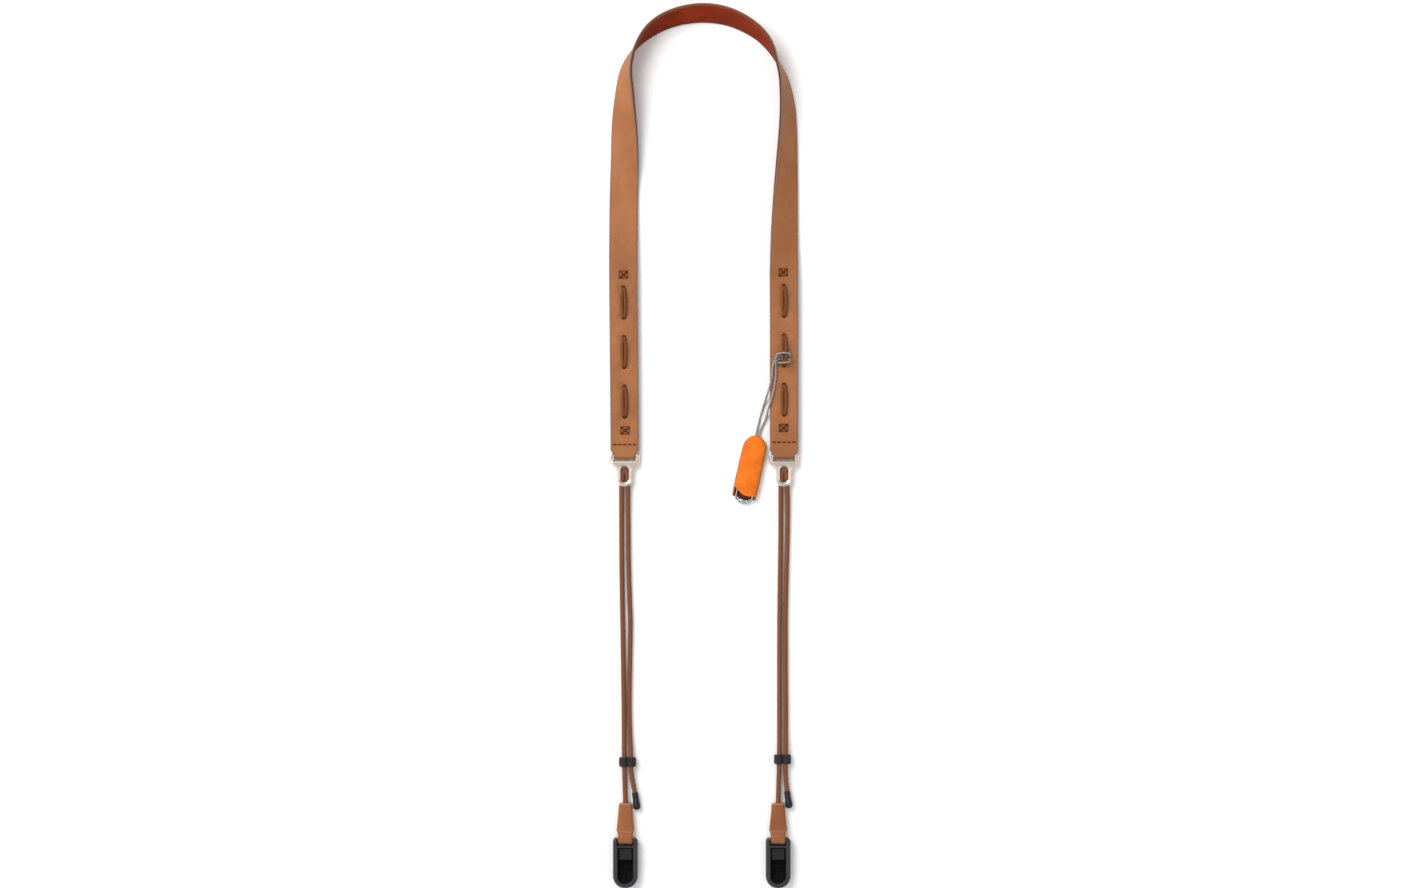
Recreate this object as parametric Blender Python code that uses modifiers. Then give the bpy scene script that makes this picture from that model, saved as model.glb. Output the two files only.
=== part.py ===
# Camera neck strap, laid flat. Metres, +Z up, the floor is z = 0 and the neck arch points along +Y.
# A lined leather band lies flat in its two legs and stands on its edge round the neck arch.
# Each leg is laced with a thin cord and folds round the bar of a metal yoke. A round cord runs
# from a leather tab up through a slider and the yoke and back down to an end cap. Each tab
# holds a moulded connector, and a small leather pouch hangs on the lacing of the right leg.

import math

import bmesh
import bpy
import numpy as np
from mathutils import Matrix, Vector

# Clearances between pieces, and how far a cut runs past a face
GAP = 0.0003
RUNNING_GAP = 0.0005
CUT_PAST = 0.0010

# Neck band
BAND_WIDTH = 0.0200
LEATHER_THICKNESS = 0.0012
LINING_THICKNESS = 0.0009
LEG_HALF_SPREAD = 0.0668
ARCH_RISE = 0.3011
BAND_STEP = 0.0115
BAND_STEP_BEND = 0.0200

# Folded ends of the leather
CHAMFER_LENGTH = 0.0036
FOLD_WIDTH = 0.0142
FLAP_LENGTH = 0.0110
LINING_START = 0.0060

# Lacing: three runs on the outer face of each leg
LACE_DIAMETER = 0.0022
LACE_RUNS = 3
LACE_RUN = 0.0207
LACE_PITCH = 0.0350
LACE_TAIL = 0.0055
LACE_BEND = 0.0016
LEFT_LACE_TOP = 0.1121
RIGHT_LACE_TOP = 0.1133
HOLE_CLEARANCE = 0.0004

# Hitch of the pouch cord round the lacing of the right leg
HITCH_Y = 0.0627
HITCH_LIFT = 0.0017
HITCH_HALF_LENGTH = 0.0050

# Yokes
BAR_DIAMETER = 0.0020
BAND_END_Y = -0.0029
EAR_OVERHANG = 0.00065
EAR_THICKNESS = 0.0018
EAR_REACH = 0.0018
EAR_RADIUS = 0.0014
SLOT_DEPTH = 0.0036
CASTING_HEIGHT = 0.0056
CASTING_EDGE = 0.0008
SHOULDER_HALF_WIDTH = 0.0099
SHOULDER_LENGTH = 0.0022
LOOP_HALF_WIDTH = 0.0053
LOOP_TOP = 0.0094
LOOP_END = 0.0222
EYE_WIDTH = 0.0058
EYE_TOP = 0.0073
EYE_END = 0.0190
LIP_THICKNESS = 0.0009
BIGHT_TOP = 0.0086

# Round cords and what is on them. Here and below, x is measured from the middle of the cord's leg.
CORD_DIAMETER = 0.0033
CORD_SPACING = 0.0046
SLIDER_WIDTH = 0.0120
SLIDER_HEIGHT = 0.0064
SLIDER_LENGTH = 0.0066
PLASTIC_RIM = 0.0008
SLIDER_LEFT = (0.0020, -0.2234)
SLIDER_RIGHT = (-0.0011, -0.2215)
CAP_DIAMETER = 0.0052
CAP_LENGTH = 0.0115
CAP_LEFT = ((0.0073, -0.2458), (0.0089, -0.2572))
CAP_RIGHT = ((0.0022, -0.2448), (0.0038, -0.2562))

# Leather tabs
TAB_WIDTH = 0.0125
TAB_LENGTH = 0.0294
TAB_THICKNESS = 0.0055
TAB_WALL = 0.0012
TAB_FOLD_WIDTH = 0.0115
TAB_SOCKET = 0.0062
LEFT_TAB_SHIFT = 0.0005
RIGHT_TAB_SHIFT = -0.0042
TAB_TOP_Y = -0.2526

# Moulded connectors
CONNECTOR_WIDTH = 0.0175
CONNECTOR_LENGTH = 0.0357
CONNECTOR_THICKNESS = 0.0075
CONNECTOR_EDGE = 0.0010
PIN_DIAMETER = 0.0022
PIN_COVER = 0.0016
PIN_SEAT = 0.0010
NOTCH_RADIUS = 0.0012
NOTCH_RIM = 0.0012
POCKET_WIDTH = 0.0111
POCKET_LENGTH = 0.0242
POCKET_FLOOR = 0.0016
TONGUE_LENGTH = 0.0088
TONGUE_SINK = 0.0018
RAMP_LENGTH = 0.0062
RAMP_RISE = 0.0042

# Pouch, with its wire loop and barrel
POUCH_APEX = (-0.0190, 0.0070)
POUCH_TURN = math.radians(-12.4)
POUCH_LENGTH = 0.0446
POUCH_WIDTH = 0.0170
POUCH_HEIGHT = 0.0068
POUCH_WALL = 0.0012
POUCH_SQUARENESS = 3.0
POUCH_CORD_DIAMETER = 0.0014
WIRE_DIAMETER = 0.0011
WIRE_LOOP_WIDTH = 0.0116
WIRE_LOOP_LENGTH = 0.0140
WIRE_LOOP_BEND = 0.0021
WIRE_REACH = 0.0020
BARREL_DIAMETER = 0.0039
BARREL_LENGTH = 0.0069
BARREL_RIM = 0.0004

# Worked out from the sizes above
BAND_THICKNESS = LEATHER_THICKNESS + GAP + LINING_THICKNESS
LACE_SPACING = LACE_DIAMETER + GAP
LEG_LIFT = LACE_DIAMETER + GAP
LEATHER_TOP = LEG_LIFT + BAND_THICKNESS
LACE_TOP_Z = LEATHER_TOP + GAP + LACE_DIAMETER / 2
BEND_RADIUS = BAR_DIAMETER / 2 + GAP + LEATHER_THICKNESS / 2
BAR_Z = BEND_RADIUS + LEATHER_THICKNESS / 2
BAR_Y = BAND_END_Y - CHAMFER_LENGTH
CORD_HOLE_RADIUS = CORD_DIAMETER / 2 + GAP
CORD_HOLE_Z = CASTING_HEIGHT - LIP_THICKNESS - CORD_HOLE_RADIUS
PIN_Y = TAB_TOP_Y - TAB_LENGTH + PIN_DIAMETER / 2 + GAP + TAB_WALL
PIN_Z = CONNECTOR_THICKNESS / 2
NOTCH_END_Y = TAB_TOP_Y - TAB_LENGTH - RUNNING_GAP
CONNECTOR_TOP_Y = PIN_Y + PIN_DIAMETER / 2 + PIN_COVER

# The neck band's lower edge, from the left leg over the arch to the right leg. side and rise are
# shares of LEG_HALF_SPREAD and ARCH_RISE, tilt is in degrees, and lift is a share of LEG_LIFT.
BAND_COLUMNS = ("side", "rise", "tilt", "lift")
BAND_ROUTE = (
    (-0.988, -0.0096, 0.0, 1.00),
    (-0.990, 0.0700, 0.0, 1.00),
    (-0.995, 0.2000, 0.0, 1.00),
    (-1.001, 0.3490, 0.0, 1.00),
    (-1.003, 0.4150, 0.0, 0.96),
    (-1.002, 0.4980, 0.0, 0.45),
    (-0.999, 0.5750, 0.0, 0.06),
    (-0.992, 0.6310, 4.0, 0.00),
    (-0.984, 0.6720, 13.0, 0.00),
    (-0.970, 0.7570, 30.0, 0.00),
    (-0.939, 0.8160, 47.0, 0.00),
    (-0.872, 0.8860, 68.0, 0.00),
    (-0.735, 0.9350, 87.0, 0.00),
    (-0.533, 0.9690, 108.0, 0.00),
    (-0.305, 0.9910, 117.0, 0.00),
    (-0.013, 1.0000, 121.0, 0.00),
    (0.263, 0.9920, 117.5, 0.00),
    (0.520, 0.9660, 109.5, 0.00),
    (0.665, 0.9390, 101.0, 0.00),
    (0.782, 0.9050, 87.0, 0.00),
    (0.888, 0.8620, 73.0, 0.00),
    (0.956, 0.8020, 61.0, 0.00),
    (0.977, 0.7450, 54.0, 0.00),
    (0.988, 0.6140, 37.0, 0.00),
    (0.994, 0.4860, 19.0, 0.20),
    (0.997, 0.4240, 9.0, 0.75),
    (0.998, 0.3920, 0.5, 1.00),
    (1.000, 0.2880, 0.0, 1.00),
    (1.000, 0.2000, 0.0, 1.00),
    (1.000, 0.0700, 0.0, 1.00),
    (1.000, -0.0096, 0.0, 1.00),
)

# The leather flap under each leg, from the bend back up the leg. back is a share of FLAP_LENGTH,
# and height is a share of the way from the bend's lower side to the lining's place.
FLAP_COLUMNS = ("back", "height")
FLAP = ((0.16, 0.04), (0.34, 0.38), (0.52, 0.84), (0.70, 1.0), (1.0, 1.0))

# Each tab from its top to the start of its fold: shares of TAB_LENGTH, TAB_WIDTH and TAB_THICKNESS.
TAB_COLUMNS = ("along", "width", "height")
TAB = (
    (0.00, 0.70, 0.92),
    (0.02, 0.73, 1.00),
    (0.22, 0.81, 1.00),
    (0.45, 0.92, 0.86),
    (0.64, 1.00, 0.72),
    (0.71, 0.98, 0.70),
    (0.79, 0.85, 0.72),
    (0.84, 0.86, 0.84),
)

# The pouch from its mouth to its apex: shares of POUCH_LENGTH, POUCH_WIDTH and POUCH_HEIGHT.
POUCH_COLUMNS = ("along", "width", "height")
POUCH = (
    (0.00, 0.95, 0.94),
    (0.10, 0.99, 1.00),
    (0.35, 1.00, 1.00),
    (0.65, 0.98, 0.94),
    (0.84, 0.94, 0.82),
    (0.92, 0.74, 0.72),
    (0.97, 0.50, 0.66),
    (1.00, 0.36, 0.64),
)

# Routes of the cords, through points chosen by hand. x is measured from the middle of the cord's leg.
LEFT_CORD = (
    (0.0005, -0.2577, 0.00275),
    (0.0004, -0.2500, 0.00270),
    (0.0000, -0.2380, 0.00270),
    (-0.0002, -0.2295, 0.00310),
    (-0.0003, -0.2234, 0.00320),
    (-0.0004, -0.2160, 0.00305),
    (-0.0005, -0.2030, 0.00190),
    (-0.0006, -0.1880, 0.00167),
    (-0.0009, -0.1656, 0.00167),
    (-0.0013, -0.1370, 0.00167),
    (-0.0018, -0.1089, 0.00167),
    (-0.0022, -0.0805, 0.00167),
    (-0.0023, -0.0560, 0.00170),
    (-0.0023, -0.0400, 0.00225),
    (-0.0023, -0.0300, 0.00272),
    (-0.0023, -0.0250, 0.00275),
    (-0.0023, -0.0205, 0.00275),
    (-0.0016, -0.0181, 0.00275),
    (0.0000, -0.0170, 0.00275),
    (0.0016, -0.0181, 0.00275),
    (0.0023, -0.0205, 0.00275),
    (0.0023, -0.0250, 0.00275),
    (0.0023, -0.0300, 0.00272),
    (0.0023, -0.0400, 0.00225),
    (0.0024, -0.0560, 0.00170),
    (0.0026, -0.0805, 0.00167),
    (0.0034, -0.1089, 0.00167),
    (0.0039, -0.1230, 0.00167),
    (0.0037, -0.1440, 0.00167),
    (0.0033, -0.1656, 0.00167),
    (0.0032, -0.1880, 0.00167),
    (0.0036, -0.2030, 0.00190),
    (0.0042, -0.2160, 0.00305),
    (0.0043, -0.2234, 0.00320),
    (0.0046, -0.2300, 0.00310),
    (0.0056, -0.2375, 0.00275),
    (0.00725, -0.2455, 0.00265),
)
RIGHT_CORD = (
    (-0.0042, -0.2577, 0.00275),
    (-0.0041, -0.2500, 0.00270),
    (-0.0038, -0.2380, 0.00270),
    (-0.0035, -0.2285, 0.00310),
    (-0.0034, -0.2215, 0.00320),
    (-0.0033, -0.2140, 0.00305),
    (-0.0032, -0.2010, 0.00190),
    (-0.0032, -0.1860, 0.00167),
    (-0.0032, -0.1650, 0.00167),
    (-0.0032, -0.1440, 0.00167),
    (-0.0031, -0.1230, 0.00167),
    (-0.0028, -0.0947, 0.00167),
    (-0.0024, -0.0663, 0.00167),
    (-0.0023, -0.0500, 0.00175),
    (-0.0023, -0.0400, 0.00225),
    (-0.0023, -0.0300, 0.00272),
    (-0.0023, -0.0250, 0.00275),
    (-0.0023, -0.0205, 0.00275),
    (-0.0016, -0.0181, 0.00275),
    (0.0000, -0.0170, 0.00275),
    (0.0016, -0.0181, 0.00275),
    (0.0023, -0.0205, 0.00275),
    (0.0023, -0.0250, 0.00275),
    (0.0023, -0.0300, 0.00272),
    (0.0025, -0.0400, 0.00225),
    (0.0025, -0.0520, 0.00172),
    (0.0022, -0.0700, 0.00167),
    (0.0015, -0.0947, 0.00167),
    (0.0010, -0.1230, 0.00167),
    (0.0010, -0.1480, 0.00167),
    (0.0011, -0.1730, 0.00167),
    (0.0012, -0.1880, 0.00170),
    (0.0012, -0.2010, 0.00190),
    (0.0012, -0.2140, 0.00305),
    (0.0012, -0.2215, 0.00320),
    (0.0010, -0.2285, 0.00310),
    (0.0014, -0.2370, 0.00275),
    (0.00215, -0.2445, 0.00265),
)
POUCH_CORD = (
    (-0.0212, 0.0013, 0.00220),
    (-0.0205, 0.0045, 0.00220),
    (-0.0199, 0.0074, 0.00210),
    (-0.0190, 0.0115, 0.00120),
    (-0.0179, 0.0160, 0.00086),
    (-0.0163, 0.0225, 0.00080),
    (-0.0145, 0.0285, 0.00090),
    (-0.0132, 0.0325, 0.00180),
    (-0.0121, 0.0360, 0.00420),
    (-0.0109, 0.0398, 0.00582),
    (-0.0095, 0.0450, 0.00578),
    (-0.0086, 0.0500, 0.00578),
    (-0.0081, 0.0550, 0.00600),
    (-0.0075, 0.0590, 0.00705),
    (-0.0063, 0.0619, 0.00765),
    (-0.0046, 0.0632, 0.00680),
    (-0.0025, 0.0637, 0.00590),
    (0.0000, 0.0638, 0.00580),
    (0.0024, 0.0640, 0.00590),
    (0.0042, 0.0646, 0.00730),
    (0.0038, 0.0655, 0.00950),
    (0.0015, 0.0660, 0.01030),
    (-0.0014, 0.0661, 0.01025),
    (-0.0038, 0.0657, 0.00890),
    (-0.0054, 0.0646, 0.00680),
    (-0.0060, 0.0631, 0.00582),
    (-0.0061, 0.0616, 0.00578),
    (-0.0057, 0.0602, 0.00580),
    (-0.0045, 0.0593, 0.00650),
    (-0.0033, 0.0591, 0.00860),
    (-0.0014, 0.0592, 0.01020),
    (0.0015, 0.0593, 0.01030),
    (0.0038, 0.0600, 0.00950),
    (0.0042, 0.0612, 0.00730),
    (0.0024, 0.0619, 0.00590),
    (0.0000, 0.0619, 0.00580),
    (-0.0024, 0.0617, 0.00590),
    (-0.0042, 0.0612, 0.00670),
    (-0.0058, 0.0603, 0.00755),
    (-0.0059, 0.0582, 0.00705),
    (-0.0058, 0.0545, 0.00600),
    (-0.0059, 0.0500, 0.00578),
    (-0.0064, 0.0450, 0.00578),
    (-0.0076, 0.0385, 0.00578),
    (-0.0090, 0.0335, 0.00578),
    (-0.0102, 0.0295, 0.00578),
    (-0.0112, 0.0262, 0.00460),
    (-0.0120, 0.0230, 0.00260),
    (-0.0130, 0.0195, 0.00100),
    (-0.0144, 0.0160, 0.00086),
    (-0.0164, 0.0115, 0.00110),
    (-0.0181, 0.0070, 0.00210),
    (-0.0187, 0.0041, 0.00220),
    (-0.0194, 0.0009, 0.00220),
)


# Scene, materials and meshes


def start_scene():
    for obj in list(bpy.data.objects):
        bpy.data.objects.remove(obj, do_unlink=True)
    made = {}
    for name in ("camera_neck_strap", "cutters"):
        made[name] = bpy.data.collections.new(name)
        bpy.context.scene.collection.children.link(made[name])
    made["cutters"].hide_render = True
    return made["camera_neck_strap"], made["cutters"]


PARTS, CUTTERS = start_scene()


def material(name, colour, roughness, metallic=0.0):
    made = bpy.data.materials.new(name)
    made.use_nodes = True
    shader = made.node_tree.nodes["Principled BSDF"]
    shader.inputs["Base Color"].default_value = (*colour, 1.0)
    shader.inputs["Roughness"].default_value = roughness
    shader.inputs["Metallic"].default_value = metallic
    made.diffuse_color = (*colour, 1.0)
    return made


def put(obj, finish, smooth_angle=None):
    PARTS.objects.link(obj)
    obj.data.materials.append(finish)
    if smooth_angle and obj.type == "MESH":
        obj.data.shade_smooth()
        obj.data.set_sharp_from_angle(angle=math.radians(smooth_angle))
    return obj


def cutter(obj):
    CUTTERS.objects.link(obj)
    obj.hide_render = True
    obj.display_type = "WIRE"
    return obj


def boolean(obj, other, operation):
    modifier = obj.modifiers.new(f"{operation.lower()} {other.name}", "BOOLEAN")
    modifier.operation = operation
    modifier.object = other
    return obj


def object_from(name, bm):
    mesh = bpy.data.meshes.new(name)
    bmesh.ops.recalc_face_normals(bm, faces=bm.faces)
    bm.to_mesh(mesh)
    bm.free()
    return bpy.data.objects.new(name, mesh)


# Turns a shape drawn in XY so that its X, Y and Z run along the given world axes.
def turned(x_axis, y_axis, z_axis, origin=(0.0, 0.0, 0.0)):
    matrix = Matrix((x_axis, y_axis, z_axis)).transposed().to_4x4()
    return Matrix.Translation(origin) @ matrix


# Curves and rounded corners


# Rows every `step` along a smooth curve through the given rows, closer together where it turns:
# each radian counts as `bend` more metres. The first `axes` columns are the place, and any other
# column follows along.
def smooth_rows(rows, step, axes, bend=0.0):
    rows = np.array(rows, dtype=float)
    ends = np.vstack([2 * rows[0] - rows[1], rows, 2 * rows[-1] - rows[-2]])
    fine = []
    for p0, p1, p2, p3 in zip(ends, ends[1:], ends[2:], ends[3:]):
        chords = [np.linalg.norm((b - a)[:axes]) for a, b in ((p0, p1), (p1, p2), (p2, p3))]
        t0, t1, t2, t3 = np.cumsum([0.0] + [math.sqrt(chord) for chord in chords])
        for t in np.linspace(t1, t2, 24, endpoint=False):
            a1 = ((t1 - t) * p0 + (t - t0) * p1) / (t1 - t0)
            a2 = ((t2 - t) * p1 + (t - t1) * p2) / (t2 - t1)
            a3 = ((t3 - t) * p2 + (t - t2) * p3) / (t3 - t2)
            b1 = ((t2 - t) * a1 + (t - t0) * a2) / (t2 - t0)
            b2 = ((t3 - t) * a2 + (t - t1) * a3) / (t3 - t1)
            fine.append(((t2 - t) * b1 + (t - t1) * b2) / (t2 - t1))
    fine = np.array(fine + [rows[-1]])
    moves = np.diff(fine[:, :axes], axis=0)
    lengths = np.linalg.norm(moves, axis=1)
    headings = moves / lengths[:, None]
    cosines = np.clip((headings[1:] * headings[:-1]).sum(axis=1), -1.0, 1.0)
    lengths[1:] += bend * np.arccos(cosines)
    travelled = np.concatenate([[0.0], np.cumsum(lengths)])
    stops = np.linspace(0.0, travelled[-1], max(2, round(travelled[-1] / step) + 1))
    return np.column_stack([np.interp(stops, travelled, column) for column in fine.T])


# A table as an array, with the named columns multiplied by the given sizes.
def scaled(table, columns, **sizes):
    rows = np.array(table, dtype=float)
    for column, size in sizes.items():
        rows[:, columns.index(column)] *= size
    return rows


# A path through corners of (x, y, z, radius), each rounded by an arc of that radius.
def rounded_path(corners, steps, closed=False):
    path = []
    for index, (x, y, z, radius) in enumerate(corners):
        here = Vector((x, y, z))
        is_end = not closed and index in (0, len(corners) - 1)
        if is_end or radius == 0:
            path.append(here)
            continue
        back = (Vector(corners[index - 1][:3]) - here).normalized()
        ahead = (Vector(corners[(index + 1) % len(corners)][:3]) - here).normalized()
        half = back.angle(ahead) / 2
        centre = here + (back + ahead).normalized() * radius / math.sin(half)
        reach = radius / math.tan(half)
        first = (here + back * reach - centre).normalized()
        last = (here + ahead * reach - centre).normalized()
        for step in range(steps + 1):
            path.append(centre + first.slerp(last, step / steps) * radius)
    return path


def tube(name, points, diameter, closed=False):
    curve = bpy.data.curves.new(name, "CURVE")
    curve.dimensions = "3D"
    curve.bevel_depth = diameter / 2
    curve.bevel_resolution = 2
    curve.use_fill_caps = not closed
    spline = curve.splines.new("POLY")
    spline.points.add(len(points) - 1)
    for target, place in zip(spline.points, points):
        target.co = (*place[:3], 1.0)
    spline.use_cyclic_u = closed
    spline.use_smooth = True
    return bpy.data.objects.new(name, curve)


# A mesh made from a curve, with its caps welded, in the curve's place.
def as_mesh(obj):
    bpy.context.scene.collection.objects.link(obj)
    graph = bpy.context.evaluated_depsgraph_get()
    mesh = bpy.data.meshes.new_from_object(obj.evaluated_get(graph))
    bm = bmesh.new()
    bm.from_mesh(mesh)
    bmesh.ops.remove_doubles(bm, verts=bm.verts, dist=1e-6)
    bmesh.ops.recalc_face_normals(bm, faces=bm.faces)
    bm.to_mesh(mesh)
    bm.free()
    name, place = obj.name, obj.matrix_world.copy()
    bpy.data.objects.remove(obj, do_unlink=True)
    made = bpy.data.objects.new(name, mesh)
    made.matrix_world = place
    return made


# A flat plate with rounded rims from an outline in XY, centred on z = 0.
def plate(name, outline, thickness, edge=0.0):
    curve = bpy.data.curves.new(name, "CURVE")
    curve.dimensions = "2D"
    curve.fill_mode = "BOTH"
    curve.extrude = thickness / 2 - edge
    curve.bevel_depth = edge
    curve.bevel_resolution = 0
    curve.offset = -edge
    spline = curve.splines.new("POLY")
    spline.points.add(len(outline) - 1)
    for target, place in zip(spline.points, outline):
        target.co = (place[0], place[1], 0.0, 1.0)
    spline.use_cyclic_u = True
    return as_mesh(bpy.data.objects.new(name, curve))


# Four corners of a rectangle in XY, each rounded by the same radius.
def rounded_rectangle(low, high, radius, steps=3):
    corners = (
        (low[0], low[1], 0.0, radius),
        (high[0], low[1], 0.0, radius),
        (high[0], high[1], 0.0, radius),
        (low[0], high[1], 0.0, radius),
    )
    return rounded_path(corners, steps, closed=True)


def cylinder(name, radius, start, end, sides=16, rim=0.0):
    start, end = Vector(start), Vector(end)
    bm = bmesh.new()
    bmesh.ops.create_cone(
        bm, cap_ends=True, segments=sides, radius1=radius, radius2=radius, depth=(end - start).length
    )
    if rim:
        rims = [edge for edge in bm.edges if abs(edge.verts[0].co.z - edge.verts[1].co.z) < 1e-9]
        bmesh.ops.bevel(bm, geom=rims, offset=rim, segments=1, affect="EDGES")
    turn = (end - start).to_track_quat("Z", "Y").to_matrix().to_4x4()
    bmesh.ops.transform(bm, matrix=Matrix.Translation((start + end) / 2) @ turn, verts=bm.verts)
    return object_from(name, bm)


# Rings of points joined into one skin: a tube between the first ring and the last.
def skin(bm, rings):
    rows = [[bm.verts.new(place) for place in ring] for ring in rings]
    for below, above in zip(rows, rows[1:]):
        for index in range(len(below)):
            after = (index + 1) % len(below)
            bm.faces.new((below[index], below[after], above[after], above[index]))
    return rows


def superellipse(half_width, half_height, power, sides):
    ring = []
    for index in range(sides):
        angle = 2 * math.pi * (index + 0.5) / sides
        across, up = math.cos(angle), math.sin(angle)
        ring.append(
            (
                math.copysign(abs(across) ** (2 / power), across) * half_width,
                math.copysign(abs(up) ** (2 / power), up) * half_height,
            )
        )
    return ring


# Neck band

# A station of the band: centre of its thickness, direction across it, outward normal, half width.


def band_stations():
    rows = scaled(BAND_ROUTE, BAND_COLUMNS, side=LEG_HALF_SPREAD, rise=ARCH_RISE, lift=LEG_LIFT)
    rows = smooth_rows(rows, BAND_STEP, axes=2, bend=BAND_STEP_BEND)
    tangents = np.gradient(rows[:, :2], axis=0)
    stations = []
    for (x, y, tilt, lift), (along_x, along_y) in zip(rows, tangents):
        inward = Vector((along_y, -along_x, 0.0)).normalized()
        turn = math.radians(max(tilt, 0.0))
        across = inward * math.cos(turn) + Vector((0.0, 0.0, math.sin(turn)))
        outward = Vector((0.0, 0.0, math.cos(turn))) - inward * math.sin(turn)
        centre = Vector((x, y, 0.0)) + inward * (BAND_WIDTH / 2 * math.cos(turn))
        centre.z = min(max(lift, 0.0), LEG_LIFT) + BAND_WIDTH / 2 * math.sin(turn)
        centre.z += BAND_THICKNESS / 2 * abs(math.cos(turn))
        stations.append((centre, across, outward, BAND_WIDTH / 2))
    return stations


def layer_stations(stations, offset):
    return [
        (centre + outward * offset, across, outward, half)
        for centre, across, outward, half in stations
    ]


# The leather's way round the yoke's bar and back under the leg, for the leg whose centre is at x.
def fold_stations(x, across):
    half = FOLD_WIDTH / 2
    stations = []
    for turn in (0, 20, 50, 80, 110, 140, 170):
        angle = math.radians(turn)
        outward = Vector((0.0, -math.sin(angle), math.cos(angle)))
        centre = Vector((x, BAR_Y, BAR_Z)) + outward * BEND_RADIUS
        stations.append((centre, across, outward, half))
    low = BAR_Z - BEND_RADIUS
    high = LEG_LIFT + LINING_THICKNESS - LEATHER_THICKNESS / 2
    path = scaled(FLAP, FLAP_COLUMNS, back=FLAP_LENGTH, height=high - low) + (BAR_Y, low)
    before = stations[-1][0].yz
    for index, place in enumerate(path):
        after = path[min(index + 1, len(path) - 1)]
        along = Vector((after[0] - before[0], after[1] - before[1])).normalized()
        outward = Vector((0.0, along.y, -along.x))
        stations.append((Vector((x, *place)), across, outward, half))
        before = place
    return stations


def leg_fold(station):
    return fold_stations(station[0].x, Vector((math.copysign(1.0, station[1].x), 0.0, 0.0)))


def band_layer(name, stations, thickness):
    bm = bmesh.new()
    rows = []
    for centre, across, outward, half in stations:
        places = (
            centre - across * half - outward * thickness / 2,
            centre + across * half - outward * thickness / 2,
            centre + across * half + outward * thickness / 2,
            centre - across * half + outward * thickness / 2,
        )
        rows.append([bm.verts.new(place) for place in places])
    # Every face is split along the same diagonal, so that the two layers stay parallel in the twist.
    for a, b in zip(rows, rows[1:]):
        for near, far in ((0, 1), (3, 2), (1, 2), (0, 3)):
            bm.faces.new((a[near], a[far], b[far]))
            bm.faces.new((a[near], b[far], b[near]))
    bm.faces.new(rows[0])
    bm.faces.new(rows[-1])
    return object_from(name, bm)


# The stations above the given y, with a new one exactly there at each end.
def trimmed(stations, y):
    kept = [station for station in stations if station[0].y > y]
    ends = []
    for station in (kept[0], kept[-1]):
        centre = station[0].copy()
        centre.y = y
        ends.append((centre, *station[1:]))
    return [ends[0], *kept, ends[1]]


def leg_x(stations, y, side):
    leg = [(centre.y, centre.x) for centre, _, _, _ in stations if centre.x * side > 0]
    leg.sort()
    return float(np.interp(y, [row[0] for row in leg], [row[1] for row in leg]))


def lace_hole_rows(top):
    rows = []
    for run in range(LACE_RUNS):
        rows += [top - run * LACE_PITCH, top - run * LACE_PITCH - LACE_RUN]
    return rows


def lace_hole_cutter(stations):
    bm = bmesh.new()
    half_width = LACE_SPACING / 2 + LACE_DIAMETER / 2 + HOLE_CLEARANCE
    half_length = LACE_DIAMETER / 2 + HOLE_CLEARANCE
    for side, top in ((-1, LEFT_LACE_TOP), (1, RIGHT_LACE_TOP)):
        for y in lace_hole_rows(top):
            place = Matrix.Translation((leg_x(stations, y, side), y, LEATHER_TOP - BAND_THICKNESS / 2))
            size = Matrix.Diagonal((half_width, half_length, 1.0, 1.0))
            bmesh.ops.create_cone(
                bm,
                cap_ends=True,
                segments=10,
                radius1=1.0,
                radius2=1.0,
                depth=2 * BAND_THICKNESS,
                matrix=place @ size,
            )
    return cutter(object_from("lacing_holes", bm))


def neck_band(stations, leather_finish, lining_finish):
    outer = (BAND_THICKNESS - LEATHER_THICKNESS) / 2
    inner = (LINING_THICKNESS - BAND_THICKNESS) / 2
    leather = layer_stations(stations, outer)
    leather = leg_fold(leather[0])[::-1] + leather + leg_fold(leather[-1])
    holes = lace_hole_cutter(stations)
    strap = put(band_layer("strap_leather", leather, LEATHER_THICKNESS), leather_finish, 30)
    boolean(strap, holes, "DIFFERENCE")
    lining = layer_stations(trimmed(stations, LINING_START), inner)
    lining = band_layer("strap_lining", lining, LINING_THICKNESS)
    boolean(put(lining, lining_finish, 30), holes, "DIFFERENCE")


# Lacing


def lace_run(y_low, y_high, passes_hitch):
    if not passes_hitch:
        return [(y_low, LACE_TOP_Z), (y_high, LACE_TOP_Z)]
    raised = LACE_TOP_Z + HITCH_LIFT
    return [
        (y_low, raised),
        (HITCH_Y + HITCH_HALF_LENGTH, raised),
        (HITCH_Y + 2 * HITCH_HALF_LENGTH, LACE_TOP_Z),
        (y_high, LACE_TOP_Z),
    ]


def lacing(name, stations, side, top, finish):
    floor_z = LACE_DIAMETER / 2
    rows = sorted(lace_hole_rows(top))
    profile = [(rows[0] - LACE_TAIL, floor_z)]
    for y_low, y_high in zip(rows[::2], rows[1::2]):
        passes_hitch = side > 0 and y_low < HITCH_Y < y_high
        profile += [(y_low, floor_z), *lace_run(y_low, y_high, passes_hitch), (y_high, floor_z)]
    profile.append((rows[-1] + LACE_TAIL, floor_z))
    strands = []
    for offset in (-LACE_SPACING / 2, LACE_SPACING / 2):
        strand = [(leg_x(stations, y, side) + offset, y, z, LACE_BEND) for y, z in profile]
        strands.append(strand)
    turn = LACE_SPACING / 2 * 0.98
    first, second = strands[0], strands[1][::-1]
    first[-1] = (*first[-1][:3], turn)
    second[0] = (*second[0][:3], turn)
    put(tube(name, rounded_path(first + second, 2), LACE_DIAMETER), finish)


# Yokes


def mirrored(half):
    return [*half, *((-x, y, z, radius) for x, y, z, radius in reversed(half))]


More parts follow.
